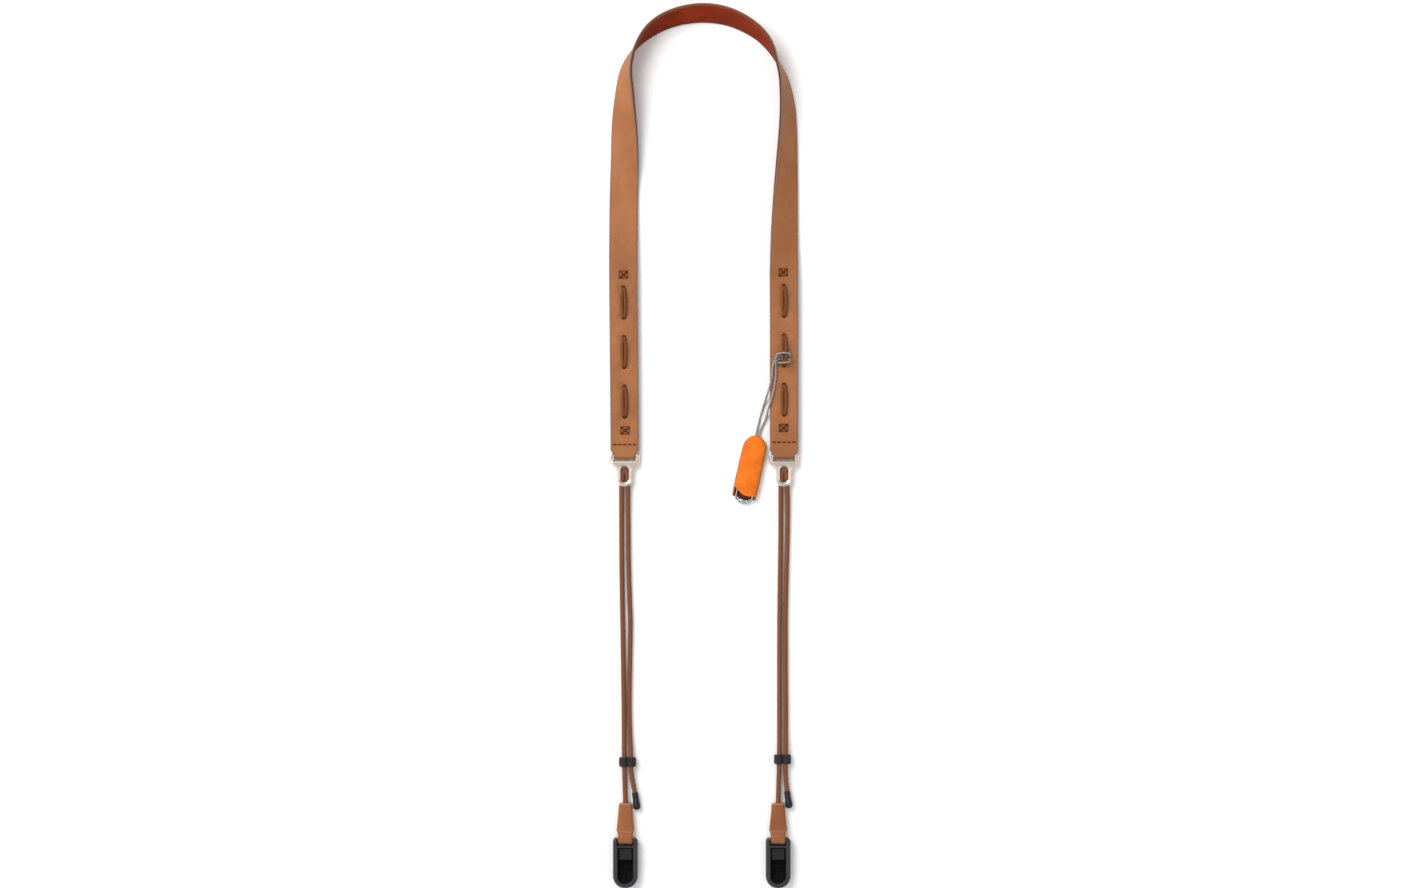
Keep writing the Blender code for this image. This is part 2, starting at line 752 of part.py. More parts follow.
# The yoke is made with the middle of its bar over the origin, and then moved to the end of its leg.
def yoke(name, leg_middle, finish):
    outline = mirrored(
        [
            (-SHOULDER_HALF_WIDTH, -SLOT_DEPTH, 0.0, SHOULDER_LENGTH * 0.45),
            (-SHOULDER_HALF_WIDTH, -SLOT_DEPTH - SHOULDER_LENGTH, 0.0, SHOULDER_LENGTH * 0.8),
            (-LOOP_HALF_WIDTH, -LOOP_TOP, 0.0, LOOP_HALF_WIDTH * 0.5),
            (-LOOP_HALF_WIDTH, -LOOP_END, 0.0, LOOP_HALF_WIDTH * 0.92),
        ]
    )
    casting = plate(name, rounded_path(outline, 3, closed=True), CASTING_HEIGHT, CASTING_EDGE)
    casting.data.transform(Matrix.Translation((0.0, 0.0, CASTING_HEIGHT / 2)))

    slot_half = FOLD_WIDTH / 2 + GAP
    ear_half = BAND_WIDTH / 2 + EAR_OVERHANG
    bar_half = (slot_half + ear_half) / 2
    bar_ends = ((-bar_half, 0.0, BAR_Z), (bar_half, 0.0, BAR_Z))
    added = [cylinder(f"{name}_bar", BAR_DIAMETER / 2, *bar_ends, 12)]
    for label, low, high in (("left", -ear_half, -slot_half), ("right", slot_half, ear_half)):
        ear_outline = rounded_rectangle((low, -SLOT_DEPTH - EAR_RADIUS), (high, EAR_REACH), EAR_RADIUS)
        ear = plate(f"{name}_{label}_ear", ear_outline, EAR_THICKNESS, EAR_THICKNESS * 0.3)
        ear.data.transform(Matrix.Translation((0.0, 0.0, BAR_Z)))
        added.append(ear)

    eye_outline = rounded_rectangle(
        (-EYE_WIDTH / 2, -EYE_END), (EYE_WIDTH / 2, -EYE_TOP), EYE_WIDTH / 2 * 0.98
    )
    cavity_half = CORD_SPACING / 2 + CORD_HOLE_RADIUS
    cavity_outline = rounded_rectangle(
        (-cavity_half, -EYE_END), (cavity_half, -BIGHT_TOP), cavity_half * 0.9, steps=2
    )
    cut = [
        plate(f"{name}_eye", eye_outline, 3 * CASTING_HEIGHT),
        plate(f"{name}_cavity", cavity_outline, 2 * (CASTING_HEIGHT - LIP_THICKNESS)),
    ]
    for label, strand_x in (("left", -CORD_SPACING / 2), ("right", CORD_SPACING / 2)):
        start = (strand_x, cavity_half - EYE_END, CORD_HOLE_Z)
        end = (strand_x, -LOOP_END - CUT_PAST, CORD_HOLE_Z)
        cut.append(cylinder(f"{name}_{label}_cord_hole", CORD_HOLE_RADIUS, start, end, 10))

    for obj in (casting, *added, *cut):
        obj.matrix_world = Matrix.Translation((leg_middle, BAR_Y, 0.0))
    for obj in added:
        boolean(casting, cutter(obj), "UNION")
    for obj in cut:
        boolean(casting, cutter(obj), "DIFFERENCE")
    put(casting, finish, 35)


# What is on the round cords


def slider(name, leg_middle, place, finish):
    radius = SLIDER_HEIGHT / 2
    middle = leg_middle + place[0]
    centre_offset = SLIDER_WIDTH / 2 - radius
    ends = (place[1] - SLIDER_LENGTH / 2, place[1] + SLIDER_LENGTH / 2)
    beads = []
    for side in (-1, 1):
        x = middle + side * centre_offset
        label = name if side < 0 else f"{name}_second_bead"
        places = ((x, ends[0], radius), (x, ends[1], radius))
        beads.append(cylinder(label, radius, *places, 12, PLASTIC_RIM))
    body = boolean(beads[0], cutter(beads[1]), "UNION")
    for label, offset in (("left", -CORD_SPACING / 2), ("right", CORD_SPACING / 2)):
        start = (middle + offset, ends[0] - CUT_PAST, radius)
        end = (middle + offset, ends[1] + CUT_PAST, radius)
        hole = cylinder(f"{name}_{label}_hole", CORD_HOLE_RADIUS, start, end, 12)
        boolean(body, cutter(hole), "DIFFERENCE")
    put(body, finish, 35)


def end_cap(name, leg_middle, places, finish):
    start, end = (Vector((leg_middle + x, y, CAP_DIAMETER / 2)) for x, y in places)
    end = start + (end - start).normalized() * CAP_LENGTH
    put(cylinder(name, CAP_DIAMETER / 2, start, end, 14, PLASTIC_RIM), finish, 35)


# Leather tabs


def tab_rings(x):
    socket_z = TAB_THICKNESS / 2
    fold_radius = PIN_DIAMETER / 2 + GAP + TAB_WALL
    pin_along = TAB_LENGTH - fold_radius
    rows = scaled(
        TAB, TAB_COLUMNS, along=TAB_LENGTH, width=TAB_WIDTH / 2, height=TAB_THICKNESS / 2
    ).tolist()
    for turn in (0, 30, 55, 75, 88):
        angle = math.radians(turn)
        along = pin_along + fold_radius * math.sin(angle)
        rows.append((along, TAB_FOLD_WIDTH / 2, fold_radius * math.cos(angle)))
    rings = []
    for along, half_width, half_height in rows:
        z = socket_z + (PIN_Z - socket_z) * min(along / pin_along, 1.0)
        ring = superellipse(half_width, half_height, 4.0, 12)
        rings.append([(x + across, TAB_TOP_Y - along, z + up) for across, up in ring])
    return rings


def tab(name, x, finish):
    bm = bmesh.new()
    rows = skin(bm, tab_rings(x))
    bm.faces.new(rows[0])
    bm.faces.new(rows[-1])
    body = object_from(name, bm)
    start = (x, TAB_TOP_Y + CUT_PAST, TAB_THICKNESS / 2)
    end = (x, TAB_TOP_Y - TAB_SOCKET, TAB_THICKNESS / 2)
    boolean(body, cutter(cylinder(f"{name}_socket", CORD_HOLE_RADIUS, start, end, 12)), "DIFFERENCE")
    start = (x - TAB_WIDTH, PIN_Y, PIN_Z)
    end = (x + TAB_WIDTH, PIN_Y, PIN_Z)
    pin_hole = cylinder(f"{name}_pin_hole", PIN_DIAMETER / 2 + GAP, start, end, 12)
    boolean(body, cutter(pin_hole), "DIFFERENCE")
    put(body, finish, 40)


# Moulded connectors


def connector(name, x, finish):
    half = CONNECTOR_WIDTH / 2
    bottom = CONNECTOR_TOP_Y - CONNECTOR_LENGTH
    outline = rounded_path(
        [
            (-half, bottom, 0.0, half * 0.97),
            (half, bottom, 0.0, half * 0.97),
            (half, CONNECTOR_TOP_Y, 0.0, half * 0.33),
            (-half, CONNECTOR_TOP_Y, 0.0, half * 0.33),
        ],
        5,
        closed=True,
    )
    body = plate(name, outline, CONNECTOR_THICKNESS, CONNECTOR_EDGE)
    body.data.transform(Matrix.Translation((x, 0.0, CONNECTOR_THICKNESS / 2)))

    notch_half = TAB_FOLD_WIDTH / 2 + RUNNING_GAP
    notch_top = CONNECTOR_TOP_Y + CUT_PAST + NOTCH_RADIUS
    notch_outline = rounded_rectangle(
        (-notch_half, NOTCH_END_Y), (notch_half, notch_top), NOTCH_RADIUS, steps=2
    )
    notch = plate(f"{name}_notch", notch_outline, 3 * CONNECTOR_THICKNESS)
    notch.data.transform(Matrix.Translation((x, 0.0, 0.0)))
    boolean(body, cutter(notch), "DIFFERENCE")
    pin_half = notch_half + PIN_SEAT
    pin_ends = [(x + side * pin_half, PIN_Y, PIN_Z) for side in (-1, 1)]
    boolean(body, cutter(cylinder(f"{name}_pin", PIN_DIAMETER / 2, *pin_ends, 12)), "UNION")

    # The pocket's side profile in (y, z): the latch tongue, the deep part and the ramp behind it.
    top = CONNECTOR_THICKNESS + CUT_PAST
    start = NOTCH_END_Y - NOTCH_RIM
    step = start - TONGUE_LENGTH
    end = start - POCKET_LENGTH
    tongue_z = CONNECTOR_THICKNESS - TONGUE_SINK
    profile = (
        (end, POCKET_FLOOR + RAMP_RISE),
        (end + RAMP_LENGTH, POCKET_FLOOR),
        (step, POCKET_FLOOR),
        (step, tongue_z),
        (start, tongue_z),
        (start, top),
        (end, top),
    )
    pocket = plate(f"{name}_pocket", profile, POCKET_WIDTH)
    pocket.data.transform(turned((0, 1, 0), (0, 0, 1), (1, 0, 0), (x, 0.0, 0.0)))
    boolean(body, cutter(pocket), "DIFFERENCE")
    put(body, finish, 35)


# Pouch and what is in its mouth


# The pouch's own frame: the origin at the middle of its mouth, +Y towards its apex.
def pouch_frame(leg_middle):
    turn = Matrix.Rotation(POUCH_TURN, 4, "Z")
    apex = Vector((leg_middle + POUCH_APEX[0], POUCH_APEX[1], 0.0))
    return Matrix.Translation(apex) @ turn @ Matrix.Translation((0.0, -POUCH_LENGTH, 0.0))


def pouch(place, finish):
    bm = bmesh.new()
    rings = []
    half = POUCH_WIDTH / 2
    rows = scaled(POUCH, POUCH_COLUMNS, along=POUCH_LENGTH, width=half, height=POUCH_HEIGHT / 2)
    for along, half_width, half_height in rows:
        ring = superellipse(half_width, half_height, POUCH_SQUARENESS, 16)
        rings.append([(across, along, half_height + up) for across, up in ring])
    skin(bm, rings)
    body = object_from("pouch", bm)
    body.matrix_world = place
    wall = body.modifiers.new("wall", "SOLIDIFY")
    wall.thickness = POUCH_WALL
    wall.offset = -1.0
    wall.use_even_offset = True

    # The front layer's edge runs down from the left side to the middle of the mouth.
    wedge = (
        (-half * 1.2, -half * 0.5),
        (half * 1.2, -half * 0.5),
        (half * 1.2, half * 0.32),
        (0.0, half * 0.22),
        (-half * 1.2, half * 0.95),
    )
    front = plate("pouch_front_edge", wedge, POUCH_HEIGHT)
    front.data.transform(Matrix.Translation((0.0, 0.0, POUCH_HEIGHT * 1.02)))
    front.matrix_world = place
    boolean(body, cutter(front), "DIFFERENCE")
    put(body, finish, 40)


def tool(place, finish):
    low = -WIRE_REACH
    half = WIRE_LOOP_WIDTH / 2
    z = BARREL_DIAMETER / 2
    ring = rounded_rectangle((-half, low), (half, low + WIRE_LOOP_LENGTH), WIRE_LOOP_BEND)
    # The wire climbs from the barrel's axis to the middle of the pouch's mouth.
    places = []
    for point in ring:
        climb = min(max((point.y - low) / WIRE_REACH, 0.0), 1.0)
        places.append((point.x, point.y, z + climb * (POUCH_HEIGHT / 2 - z)))
    loop = tube("tool_loop", places, WIRE_DIAMETER, closed=True)
    loop.matrix_world = place
    put(loop, finish)
    ends = [(side * BARREL_LENGTH / 2, low, z) for side in (-1, 1)]
    barrel = cylinder("tool_barrel", BARREL_DIAMETER / 2, *ends, 14, BARREL_RIM)
    ends = [(side * BARREL_LENGTH, low, z) for side in (-1, 1)]
    hole = cylinder("tool_barrel_hole", WIRE_DIAMETER / 2 + GAP, *ends, 10)
    for obj in (barrel, hole):
        obj.matrix_world = place
    boolean(barrel, cutter(hole), "DIFFERENCE")
    put(barrel, finish, 35)


def main():
    tan = material("tan_leather", (0.45, 0.20, 0.09), 0.6)
    rust = material("rust_leather", (0.36, 0.06, 0.01), 0.7)
    laced = material("brown_lace", (0.22, 0.10, 0.05), 0.8)
    nickel = material("satin_nickel", (0.55, 0.48, 0.40), 0.3, 1.0)
    brown = material("brown_cord", (0.26, 0.13, 0.07), 0.85)
    grey = material("grey_plastic", (0.05, 0.05, 0.055), 0.55)
    black = material("black_plastic", (0.015, 0.015, 0.016), 0.4)
    orange = material("orange_leather", (0.90, 0.26, 0.04), 0.6)
    flecked = material("grey_cord", (0.45, 0.40, 0.35), 0.85)
    steel = material("steel", (0.45, 0.45, 0.45), 0.3, 1.0)

    stations = band_stations()
    neck_band(stations, tan, rust)
    left, right = stations[0][0].x, stations[-1][0].x
    lacing("lacing_left", stations, -1, LEFT_LACE_TOP, laced)
    lacing("lacing_right", stations, 1, RIGHT_LACE_TOP, laced)
    yoke("yoke_left", left, nickel)
    yoke("yoke_right", right, nickel)
    for name, leg_middle, route in (("cord_left", left, LEFT_CORD), ("cord_right", right, RIGHT_CORD)):
        places = smooth_rows(route, 3 * CORD_DIAMETER, 3, 5 * CORD_DIAMETER) + (leg_middle, 0, 0)
        put(tube(name, places, CORD_DIAMETER), brown)
    slider("slider_left", left, SLIDER_LEFT, grey)
    slider("slider_right", right, SLIDER_RIGHT, grey)
    end_cap("end_cap_left", left, CAP_LEFT, black)
    end_cap("end_cap_right", right, CAP_RIGHT, black)
    tab("tab_left", left + LEFT_TAB_SHIFT, tan)
    tab("tab_right", right + RIGHT_TAB_SHIFT, tan)
    connector("connector_left", left + LEFT_TAB_SHIFT, black)
    connector("connector_right", right + RIGHT_TAB_SHIFT, black)
    places = smooth_rows(POUCH_CORD, 3 * POUCH_CORD_DIAMETER, 3, 1.5 * POUCH_CORD_DIAMETER)
    put(tube("pouch_cord", places + (right, 0, 0), POUCH_CORD_DIAMETER), flecked)
    pouch(pouch_frame(right), orange)
    tool(pouch_frame(right), steel)


main()
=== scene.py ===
import math

import bmesh
import bpy
import numpy as np
from mathutils import Matrix, Vector


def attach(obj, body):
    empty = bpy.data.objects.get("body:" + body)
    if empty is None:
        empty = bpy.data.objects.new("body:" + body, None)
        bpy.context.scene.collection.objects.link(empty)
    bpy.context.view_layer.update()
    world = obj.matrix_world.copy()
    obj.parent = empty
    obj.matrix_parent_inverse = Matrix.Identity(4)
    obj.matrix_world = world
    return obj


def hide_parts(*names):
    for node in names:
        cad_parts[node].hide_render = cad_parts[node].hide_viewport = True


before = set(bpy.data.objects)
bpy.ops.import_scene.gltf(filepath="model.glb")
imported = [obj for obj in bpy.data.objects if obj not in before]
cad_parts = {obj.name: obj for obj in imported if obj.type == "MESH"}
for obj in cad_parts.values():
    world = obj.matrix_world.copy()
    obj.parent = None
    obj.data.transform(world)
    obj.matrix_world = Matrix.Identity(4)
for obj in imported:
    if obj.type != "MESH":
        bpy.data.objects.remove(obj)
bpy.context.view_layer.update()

# Where things are, as in the solids
legMiddle = {"left": -0.0559984, "right": 0.0568}
tabMiddle = {"left": legMiddle["left"] + 0.0005, "right": legMiddle["right"] - 0.0042}
legLift = 0.0025
barY, barZ, barRadius = -0.0065, 0.0025, 0.0010
tabTopY = -0.2526


def inMetres(rows):
    return [tuple(value / 1000 for value in row) for row in rows]


# The band's lower edge: side and rise as shares, tilt in degrees, lift as a share.
bandRoute = (
    (-0.988, -0.0096, 0, 1), (-0.990, 0.070, 0, 1), (-0.995, 0.200, 0, 1), (-1.001, 0.349, 0, 1),
    (-1.003, 0.415, 0, 0.96), (-1.002, 0.498, 0, 0.45), (-0.999, 0.575, 0, 0.06), (-0.992, 0.631, 4, 0),
    (-0.984, 0.672, 13, 0), (-0.970, 0.757, 30, 0), (-0.939, 0.816, 47, 0), (-0.872, 0.886, 68, 0),
    (-0.735, 0.935, 87, 0), (-0.533, 0.969, 108, 0), (-0.305, 0.991, 117, 0), (-0.013, 1.000, 121, 0),
    (0.263, 0.992, 117.5, 0), (0.520, 0.966, 109.5, 0), (0.665, 0.939, 101, 0), (0.782, 0.905, 87, 0),
    (0.888, 0.862, 73, 0), (0.956, 0.802, 61, 0), (0.977, 0.745, 54, 0), (0.988, 0.614, 37, 0),
    (0.994, 0.486, 19, 0.2), (0.997, 0.424, 9, 0.75), (0.998, 0.392, 0.5, 1), (1.000, 0.288, 0, 1),
    (1.000, 0.200, 0, 1), (1.000, 0.070, 0, 1), (1.000, -0.0096, 0, 1),
)
# Middle lines of the cords in millimetres: x from the middle of the cord's leg, y, z.
eyeTurn = (
    (-2.3, -30, 2.72), (-2.3, -25, 2.75), (-2.3, -20.5, 2.75), (-1.6, -18.1, 2.75), (0, -17, 2.75),
    (1.6, -18.1, 2.75), (2.3, -20.5, 2.75), (2.3, -25, 2.75), (2.3, -30, 2.72),
)
cordRoutes = {
    "left": inMetres((
        (0.5, -257.7, 2.75), (0.4, -250, 2.7), (0, -238, 2.7), (-0.2, -229.5, 3.1), (-0.3, -223.4, 3.2),
        (-0.4, -216, 3.05), (-0.5, -203, 1.9), (-0.6, -188, 1.67), (-0.9, -165.6, 1.67), (-1.3, -137, 1.67),
        (-1.8, -108.9, 1.67), (-2.2, -80.5, 1.67), (-2.3, -56, 1.7), (-2.3, -40, 2.25), *eyeTurn,
        (2.3, -40, 2.25), (2.4, -56, 1.7), (2.6, -80.5, 1.67), (3.4, -108.9, 1.67), (3.9, -123, 1.67),
        (3.7, -144, 1.67), (3.3, -165.6, 1.67), (3.2, -188, 1.67), (3.6, -203, 1.9), (4.2, -216, 3.05),
        (4.3, -223.4, 3.2), (4.6, -230, 3.1), (5.6, -237.5, 2.75), (7.25, -245.5, 2.65))),
    "right": inMetres((
        (-4.2, -257.7, 2.75), (-4.1, -250, 2.7), (-3.8, -238, 2.7), (-3.5, -228.5, 3.1), (-3.4, -221.5, 3.2),
        (-3.3, -214, 3.05), (-3.2, -201, 1.9), (-3.2, -186, 1.67), (-3.2, -165, 1.67), (-3.2, -144, 1.67),
        (-3.1, -123, 1.67), (-2.8, -94.7, 1.67), (-2.4, -66.3, 1.67), (-2.3, -50, 1.75), (-2.3, -40, 2.25),
        *eyeTurn, (2.5, -40, 2.25), (2.5, -52, 1.72), (2.2, -70, 1.67), (1.5, -94.7, 1.67), (1, -123, 1.67),
        (1, -148, 1.67), (1.1, -173, 1.67), (1.2, -188, 1.7), (1.2, -201, 1.9), (1.2, -214, 3.05),
        (1.2, -221.5, 3.2), (1, -228.5, 3.1), (1.4, -237, 2.75), (2.15, -244.5, 2.65))),
    "pouch": inMetres((
        (-21.2, 1.3, 2.2), (-20.5, 4.5, 2.2), (-19.9, 7.4, 2.1), (-19, 11.5, 1.2), (-17.9, 16, 0.86),
        (-16.3, 22.5, 0.8), (-14.5, 28.5, 0.9), (-13.2, 32.5, 1.8), (-12.1, 36, 4.2), (-10.9, 39.8, 5.82),
        (-9.5, 45, 5.78), (-8.6, 50, 5.78), (-8.1, 55, 6), (-7.5, 59, 7.05), (-6.3, 61.9, 7.65),
        (-4.6, 63.2, 6.8), (-2.5, 63.7, 5.9), (0, 63.8, 5.8), (2.4, 64, 5.9), (4.2, 64.6, 7.3),
        (3.8, 65.5, 9.5), (1.5, 66, 10.3), (-1.4, 66.1, 10.25), (-3.8, 65.7, 8.9), (-5.4, 64.6, 6.8),
        (-6, 63.1, 5.82), (-6.1, 61.6, 5.78), (-5.7, 60.2, 5.8), (-4.5, 59.3, 6.5), (-3.3, 59.1, 8.6),
        (-1.4, 59.2, 10.2), (1.5, 59.3, 10.3), (3.8, 60, 9.5), (4.2, 61.2, 7.3), (2.4, 61.9, 5.9),
        (0, 61.9, 5.8), (-2.4, 61.7, 5.9), (-4.2, 61.2, 6.7), (-5.8, 60.3, 7.55), (-5.9, 58.2, 7.05),
        (-5.8, 54.5, 6), (-5.9, 50, 5.78), (-6.4, 45, 5.78), (-7.6, 38.5, 5.78), (-9, 33.5, 5.78),
        (-10.2, 29.5, 5.78), (-11.2, 26.2, 4.6), (-12, 23, 2.6), (-13, 19.5, 1), (-14.4, 16, 0.86),
        (-16.4, 11.5, 1.1), (-18.1, 7, 2.1), (-18.7, 4.1, 2.2), (-19.4, 0.9, 2.2))),
}


def clamped(value):
    return min(max(value, 0.0), 1.0)


# Points every step along a smooth curve through the given rows, of which the first axes are places.
def smoothRows(rows, step, axes=3):
    def blend(first, second, start, end, t):
        return ((end - t) * first + (t - start) * second) / (end - start)

    rows = np.array(rows, dtype=float)
    ends = np.vstack([2 * rows[0] - rows[1], rows, 2 * rows[-1] - rows[-2]])
    fine = []
    for p0, p1, p2, p3 in zip(ends, ends[1:], ends[2:], ends[3:]):
        chords = [np.linalg.norm((b - a)[:axes]) for a, b in ((p0, p1), (p1, p2), (p2, p3))]
        t0, t1, t2, t3 = np.cumsum([0.0] + [math.sqrt(chord) for chord in chords])
        for t in np.linspace(t1, t2, 24, endpoint=False):
            a1, a2, a3 = blend(p0, p1, t0, t1, t), blend(p1, p2, t1, t2, t), blend(p2, p3, t2, t3, t)
            fine.append(blend(blend(a1, a2, t0, t2, t), blend(a2, a3, t1, t3, t), t1, t2, t))
    return evenRows(np.array(fine + [rows[-1]]), step, axes)


def evenRows(fine, step, axes=3, extra=1):
    travelled = np.concatenate([[0.0], np.cumsum(np.linalg.norm(np.diff(fine[:, :axes], axis=0), axis=1))])
    stops = np.linspace(0.0, travelled[-1], max(2, round(travelled[-1] / step) + extra))
    return np.column_stack([np.interp(stops, travelled, column) for column in fine.T])


# A path through corners of (x, y, z, radius), each rounded by an arc of that radius.
def roundedPath(corners, steps, closed=False):
    path = []
    for index, (x, y, z, radius) in enumerate(corners):
        here = Vector((x, y, z))
        if radius == 0 or (not closed and index in (0, len(corners) - 1)):
            path.append(here)
            continue
        back = (Vector(corners[index - 1][:3]) - here).normalized()
        ahead = (Vector(corners[(index + 1) % len(corners)][:3]) - here).normalized()
        half = back.angle(ahead) / 2
        centre = here + (back + ahead).normalized() * radius / math.sin(half)
        reach = radius / math.tan(half)
        first = (here + back * reach - centre).normalized()
        last = (here + ahead * reach - centre).normalized()
        path += [centre + first.slerp(last, step / steps) * radius for step in range(steps + 1)]
    return path


def roundedBox(low, high, radius, steps=6):
    corners = ((low[0], low[1]), (high[0], low[1]), (high[0], high[1]), (low[0], high[1]))
    return roundedPath([(x, y, 0, radius) for x, y in corners], steps, closed=True)


# A point at an angle round an oval that is squarer the higher the power.
def ovalPoint(angle, halfWidth, halfHeight, power):
    across, up = math.cos(angle), math.sin(angle)
    return (math.copysign(abs(across) ** (2 / power), across) * halfWidth,
            math.copysign(abs(up) ** (2 / power), up) * halfHeight)


def ringAngles(sides):
    return [2 * math.pi * (index + 0.5) / sides for index in range(sides)]


def placed(name, data):
    obj = bpy.data.objects.new(name, data)
    bpy.context.scene.collection.objects.link(obj)
    return obj


def cleaned(mesh, merge=0.0):
    bm = bmesh.new()
    bm.from_mesh(mesh)
    if merge:
        bmesh.ops.remove_doubles(bm, verts=bm.verts, dist=merge)
    bmesh.ops.recalc_face_normals(bm, faces=bm.faces)
    bm.to_mesh(mesh)
    bm.free()
    return mesh


def softShaded(mesh, sharpFrom=50):
    mesh.shade_smooth()
    mesh.set_sharp_from_angle(angle=math.radians(sharpFrom))
    return mesh


# A mesh from rings of points. along gives each ring's texture place, values each point's masks.
def meshFromRings(name, rings, along, closed=False, values=None):
    rings = np.asarray(rings, dtype=float)
    count, sides = rings.shape[:2]
    along = list(along) + ([2 * along[-1] - along[-2]] if closed else [])
    around = np.linspace(0, 1, sides + 1)
    faces, places = [], []
    for i in range(count if closed else count - 1):
        k = (i + 1) % count
        for j in range(sides):
            m = (j + 1) % sides
            faces.append((i * sides + j, i * sides + m, k * sides + m, k * sides + j))
            places += [(along[i], around[j]), (along[i], around[j + 1]),
                       (along[i + 1], around[j + 1]), (along[i + 1], around[j])]
    if not closed:
        faces.append(tuple(range(sides))[::-1])
        faces.append(tuple(range((count - 1) * sides, count * sides)))
        places += [(along[0], around[j]) for j in range(sides)][::-1]
        places += [(along[-1], around[j]) for j in range(sides)]
    mesh = bpy.data.meshes.new(name)
    mesh.from_pydata(rings.reshape(-1, 3).tolist(), [], faces)
    layer = mesh.uv_layers.new(name="along")
    layer.data.foreach_set("uv", np.array(places, dtype=np.float32).ravel())
    for label, numbers in (values or {}).items():
        attribute = mesh.attributes.new(label, "FLOAT", "POINT")
        attribute.data.foreach_set("value", np.asarray(numbers, dtype=np.float32).ravel())
    return placed(name, softShaded(cleaned(mesh)))


# A tube round a path. relief(along, angles) is the share by which the radius grows there,
# and lean the share by which each ring swells to its right.
def tubeMesh(name, path, radius, sides, relief=None, closed=False, lean=None):
    path = np.asarray(path, dtype=float)
    ahead = np.roll(path, -1, 0) - np.roll(path, 1, 0) if closed else np.gradient(path, axis=0)
    ahead /= np.linalg.norm(ahead, axis=1)[:, None]
    along = np.concatenate([[0.0], np.cumsum(np.linalg.norm(np.diff(path, axis=0), axis=1))])
    side = np.cross(ahead[0], (0.0, 0.0, 1.0))
    if np.linalg.norm(side) < 0.1:
        side = np.cross(ahead[0], (0.0, 1.0, 0.0))
    angles = np.linspace(0, 2 * math.pi, sides, endpoint=False)
    radii = radius if np.ndim(radius) else np.full(len(path), radius)
    lean = np.zeros(len(path)) if lean is None else lean
    rings = []
    for place, heading, travelled, size, swell in zip(path, ahead, along, radii, lean):
        side = side - heading * side.dot(heading)
        side /= np.linalg.norm(side)
        up = np.cross(side, heading)
        reach = size * (1 + (relief(travelled, angles) if relief else 0 * angles))
        reach = reach * (1 + swell * np.clip(np.cos(angles), 0, 1) ** 1.5)
        rings.append(place + np.outer(np.cos(angles) * reach, side) + np.outer(np.sin(angles) * reach, up))
    return meshFromRings(name, rings, along, closed=closed)


# A turned shape: rows of (along, radius) round the line from start towards end.
def turnedMesh(name, start, end, rows, sides=48, closed=False):
    start, heading = Vector(start), (Vector(end) - Vector(start)).normalized()
    side = heading.cross((0, 0, 1)).normalized()
    up = side.cross(heading)
    angles = np.linspace(0, 2 * math.pi, sides, endpoint=False)
    rings = [[start + heading * along + (side * math.cos(a) + up * math.sin(a)) * radius for a in angles]
             for along, radius in rows]
    return meshFromRings(name, rings, [row[0] for row in rows], closed=closed)


def rod(name, radius, start, end, sides=32, rim=0.0):
    length = (Vector(end) - Vector(start)).length
    turns = np.linspace(0, math.pi / 2, 5) if rim else (0.0,)
    rows = [(rim * (1 - math.cos(t)), radius - rim * (1 - math.sin(t))) for t in turns]
    rows += [(length - along, size) for along, size in rows[::-1]]
    return turnedMesh(name, start, end, rows, sides)


# A flat plate with rounded rims, from z = low to z = high.
def plate(name, outline, low, high, rim=0.0, rimSteps=3):
    curve = bpy.data.curves.new(name, "CURVE")
    curve.dimensions = "2D"
    curve.fill_mode = "BOTH"
    curve.extrude = (high - low) / 2 - rim
    curve.bevel_depth = rim
    curve.bevel_resolution = rimSteps
    curve.offset = -rim
    spline = curve.splines.new("POLY")
    spline.points.add(len(outline) - 1)
    for target, place in zip(spline.points, outline):
        target.co = (place[0], place[1], 0.0, 1.0)
    spline.use_cyclic_u = True
    drawn = placed(name, curve)
    mesh = finalMesh(drawn)
    bpy.data.objects.remove(drawn)
    mesh.transform(Matrix.Translation((0, 0, (low + high) / 2)))
    return placed(name, cleaned(mesh, 1e-6))


# A plate over x and y ranges with rounded corners.
def slab(name, x, y, radius, low, high, steps=3):
    return plate(name, roundedBox((min(x), min(y)), (max(x), max(y)), radius, steps), low, high)


# A plate that stands across x, from a profile of (y, z) points.
def profilePlate(name, profile, x, half):
    obj = plate(name, profile, -half, half)
    obj.data.transform(Matrix(((0, 0, 1, x), (1, 0, 0, 0), (0, 1, 0, 0), (0, 0, 0, 1))))
    return obj


def finalMesh(obj):
    return bpy.data.meshes.new_from_object(obj.evaluated_get(bpy.context.evaluated_depsgraph_get()))


# One solid from pieces added, cut and kept to. With a voxel size it is remeshed and every edge goes soft.
def fused(base, added=(), cut=(), within=(), voxel=None, smooth=2, keep=False):
    def settle():
        mesh = finalMesh(base)
        base.modifiers.clear()
        base.data = mesh

    for others, operation in ((added, "UNION"), (cut, "DIFFERENCE"), (within, "INTERSECT")):
        for other in others:
            modifier = base.modifiers.new(operation, "BOOLEAN")
            modifier.operation = operation
            modifier.object = other
            settle()
            if not keep:
                bpy.data.objects.remove(other)
    if voxel:
        remesh = base.modifiers.new("remesh", "REMESH")
        remesh.mode = "VOXEL"
        remesh.voxel_size = voxel * 1.0
        soft = base.modifiers.new("soft", "SMOOTH")
        soft.factor = 0.5
        soft.iterations = smooth
        settle()
        base.data.shade_smooth()
    else:
        softShaded(base.data)
    return base


def pieceName(node):
    first, *rest = node.split("_")
    return first + "".join(word.capitalize() for word in rest)


def dress(obj, material, nodes=()):
    obj.data.materials.clear()
    obj.data.materials.append(material)
    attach(obj, "root")
    if nodes:
        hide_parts(*nodes)
    return obj


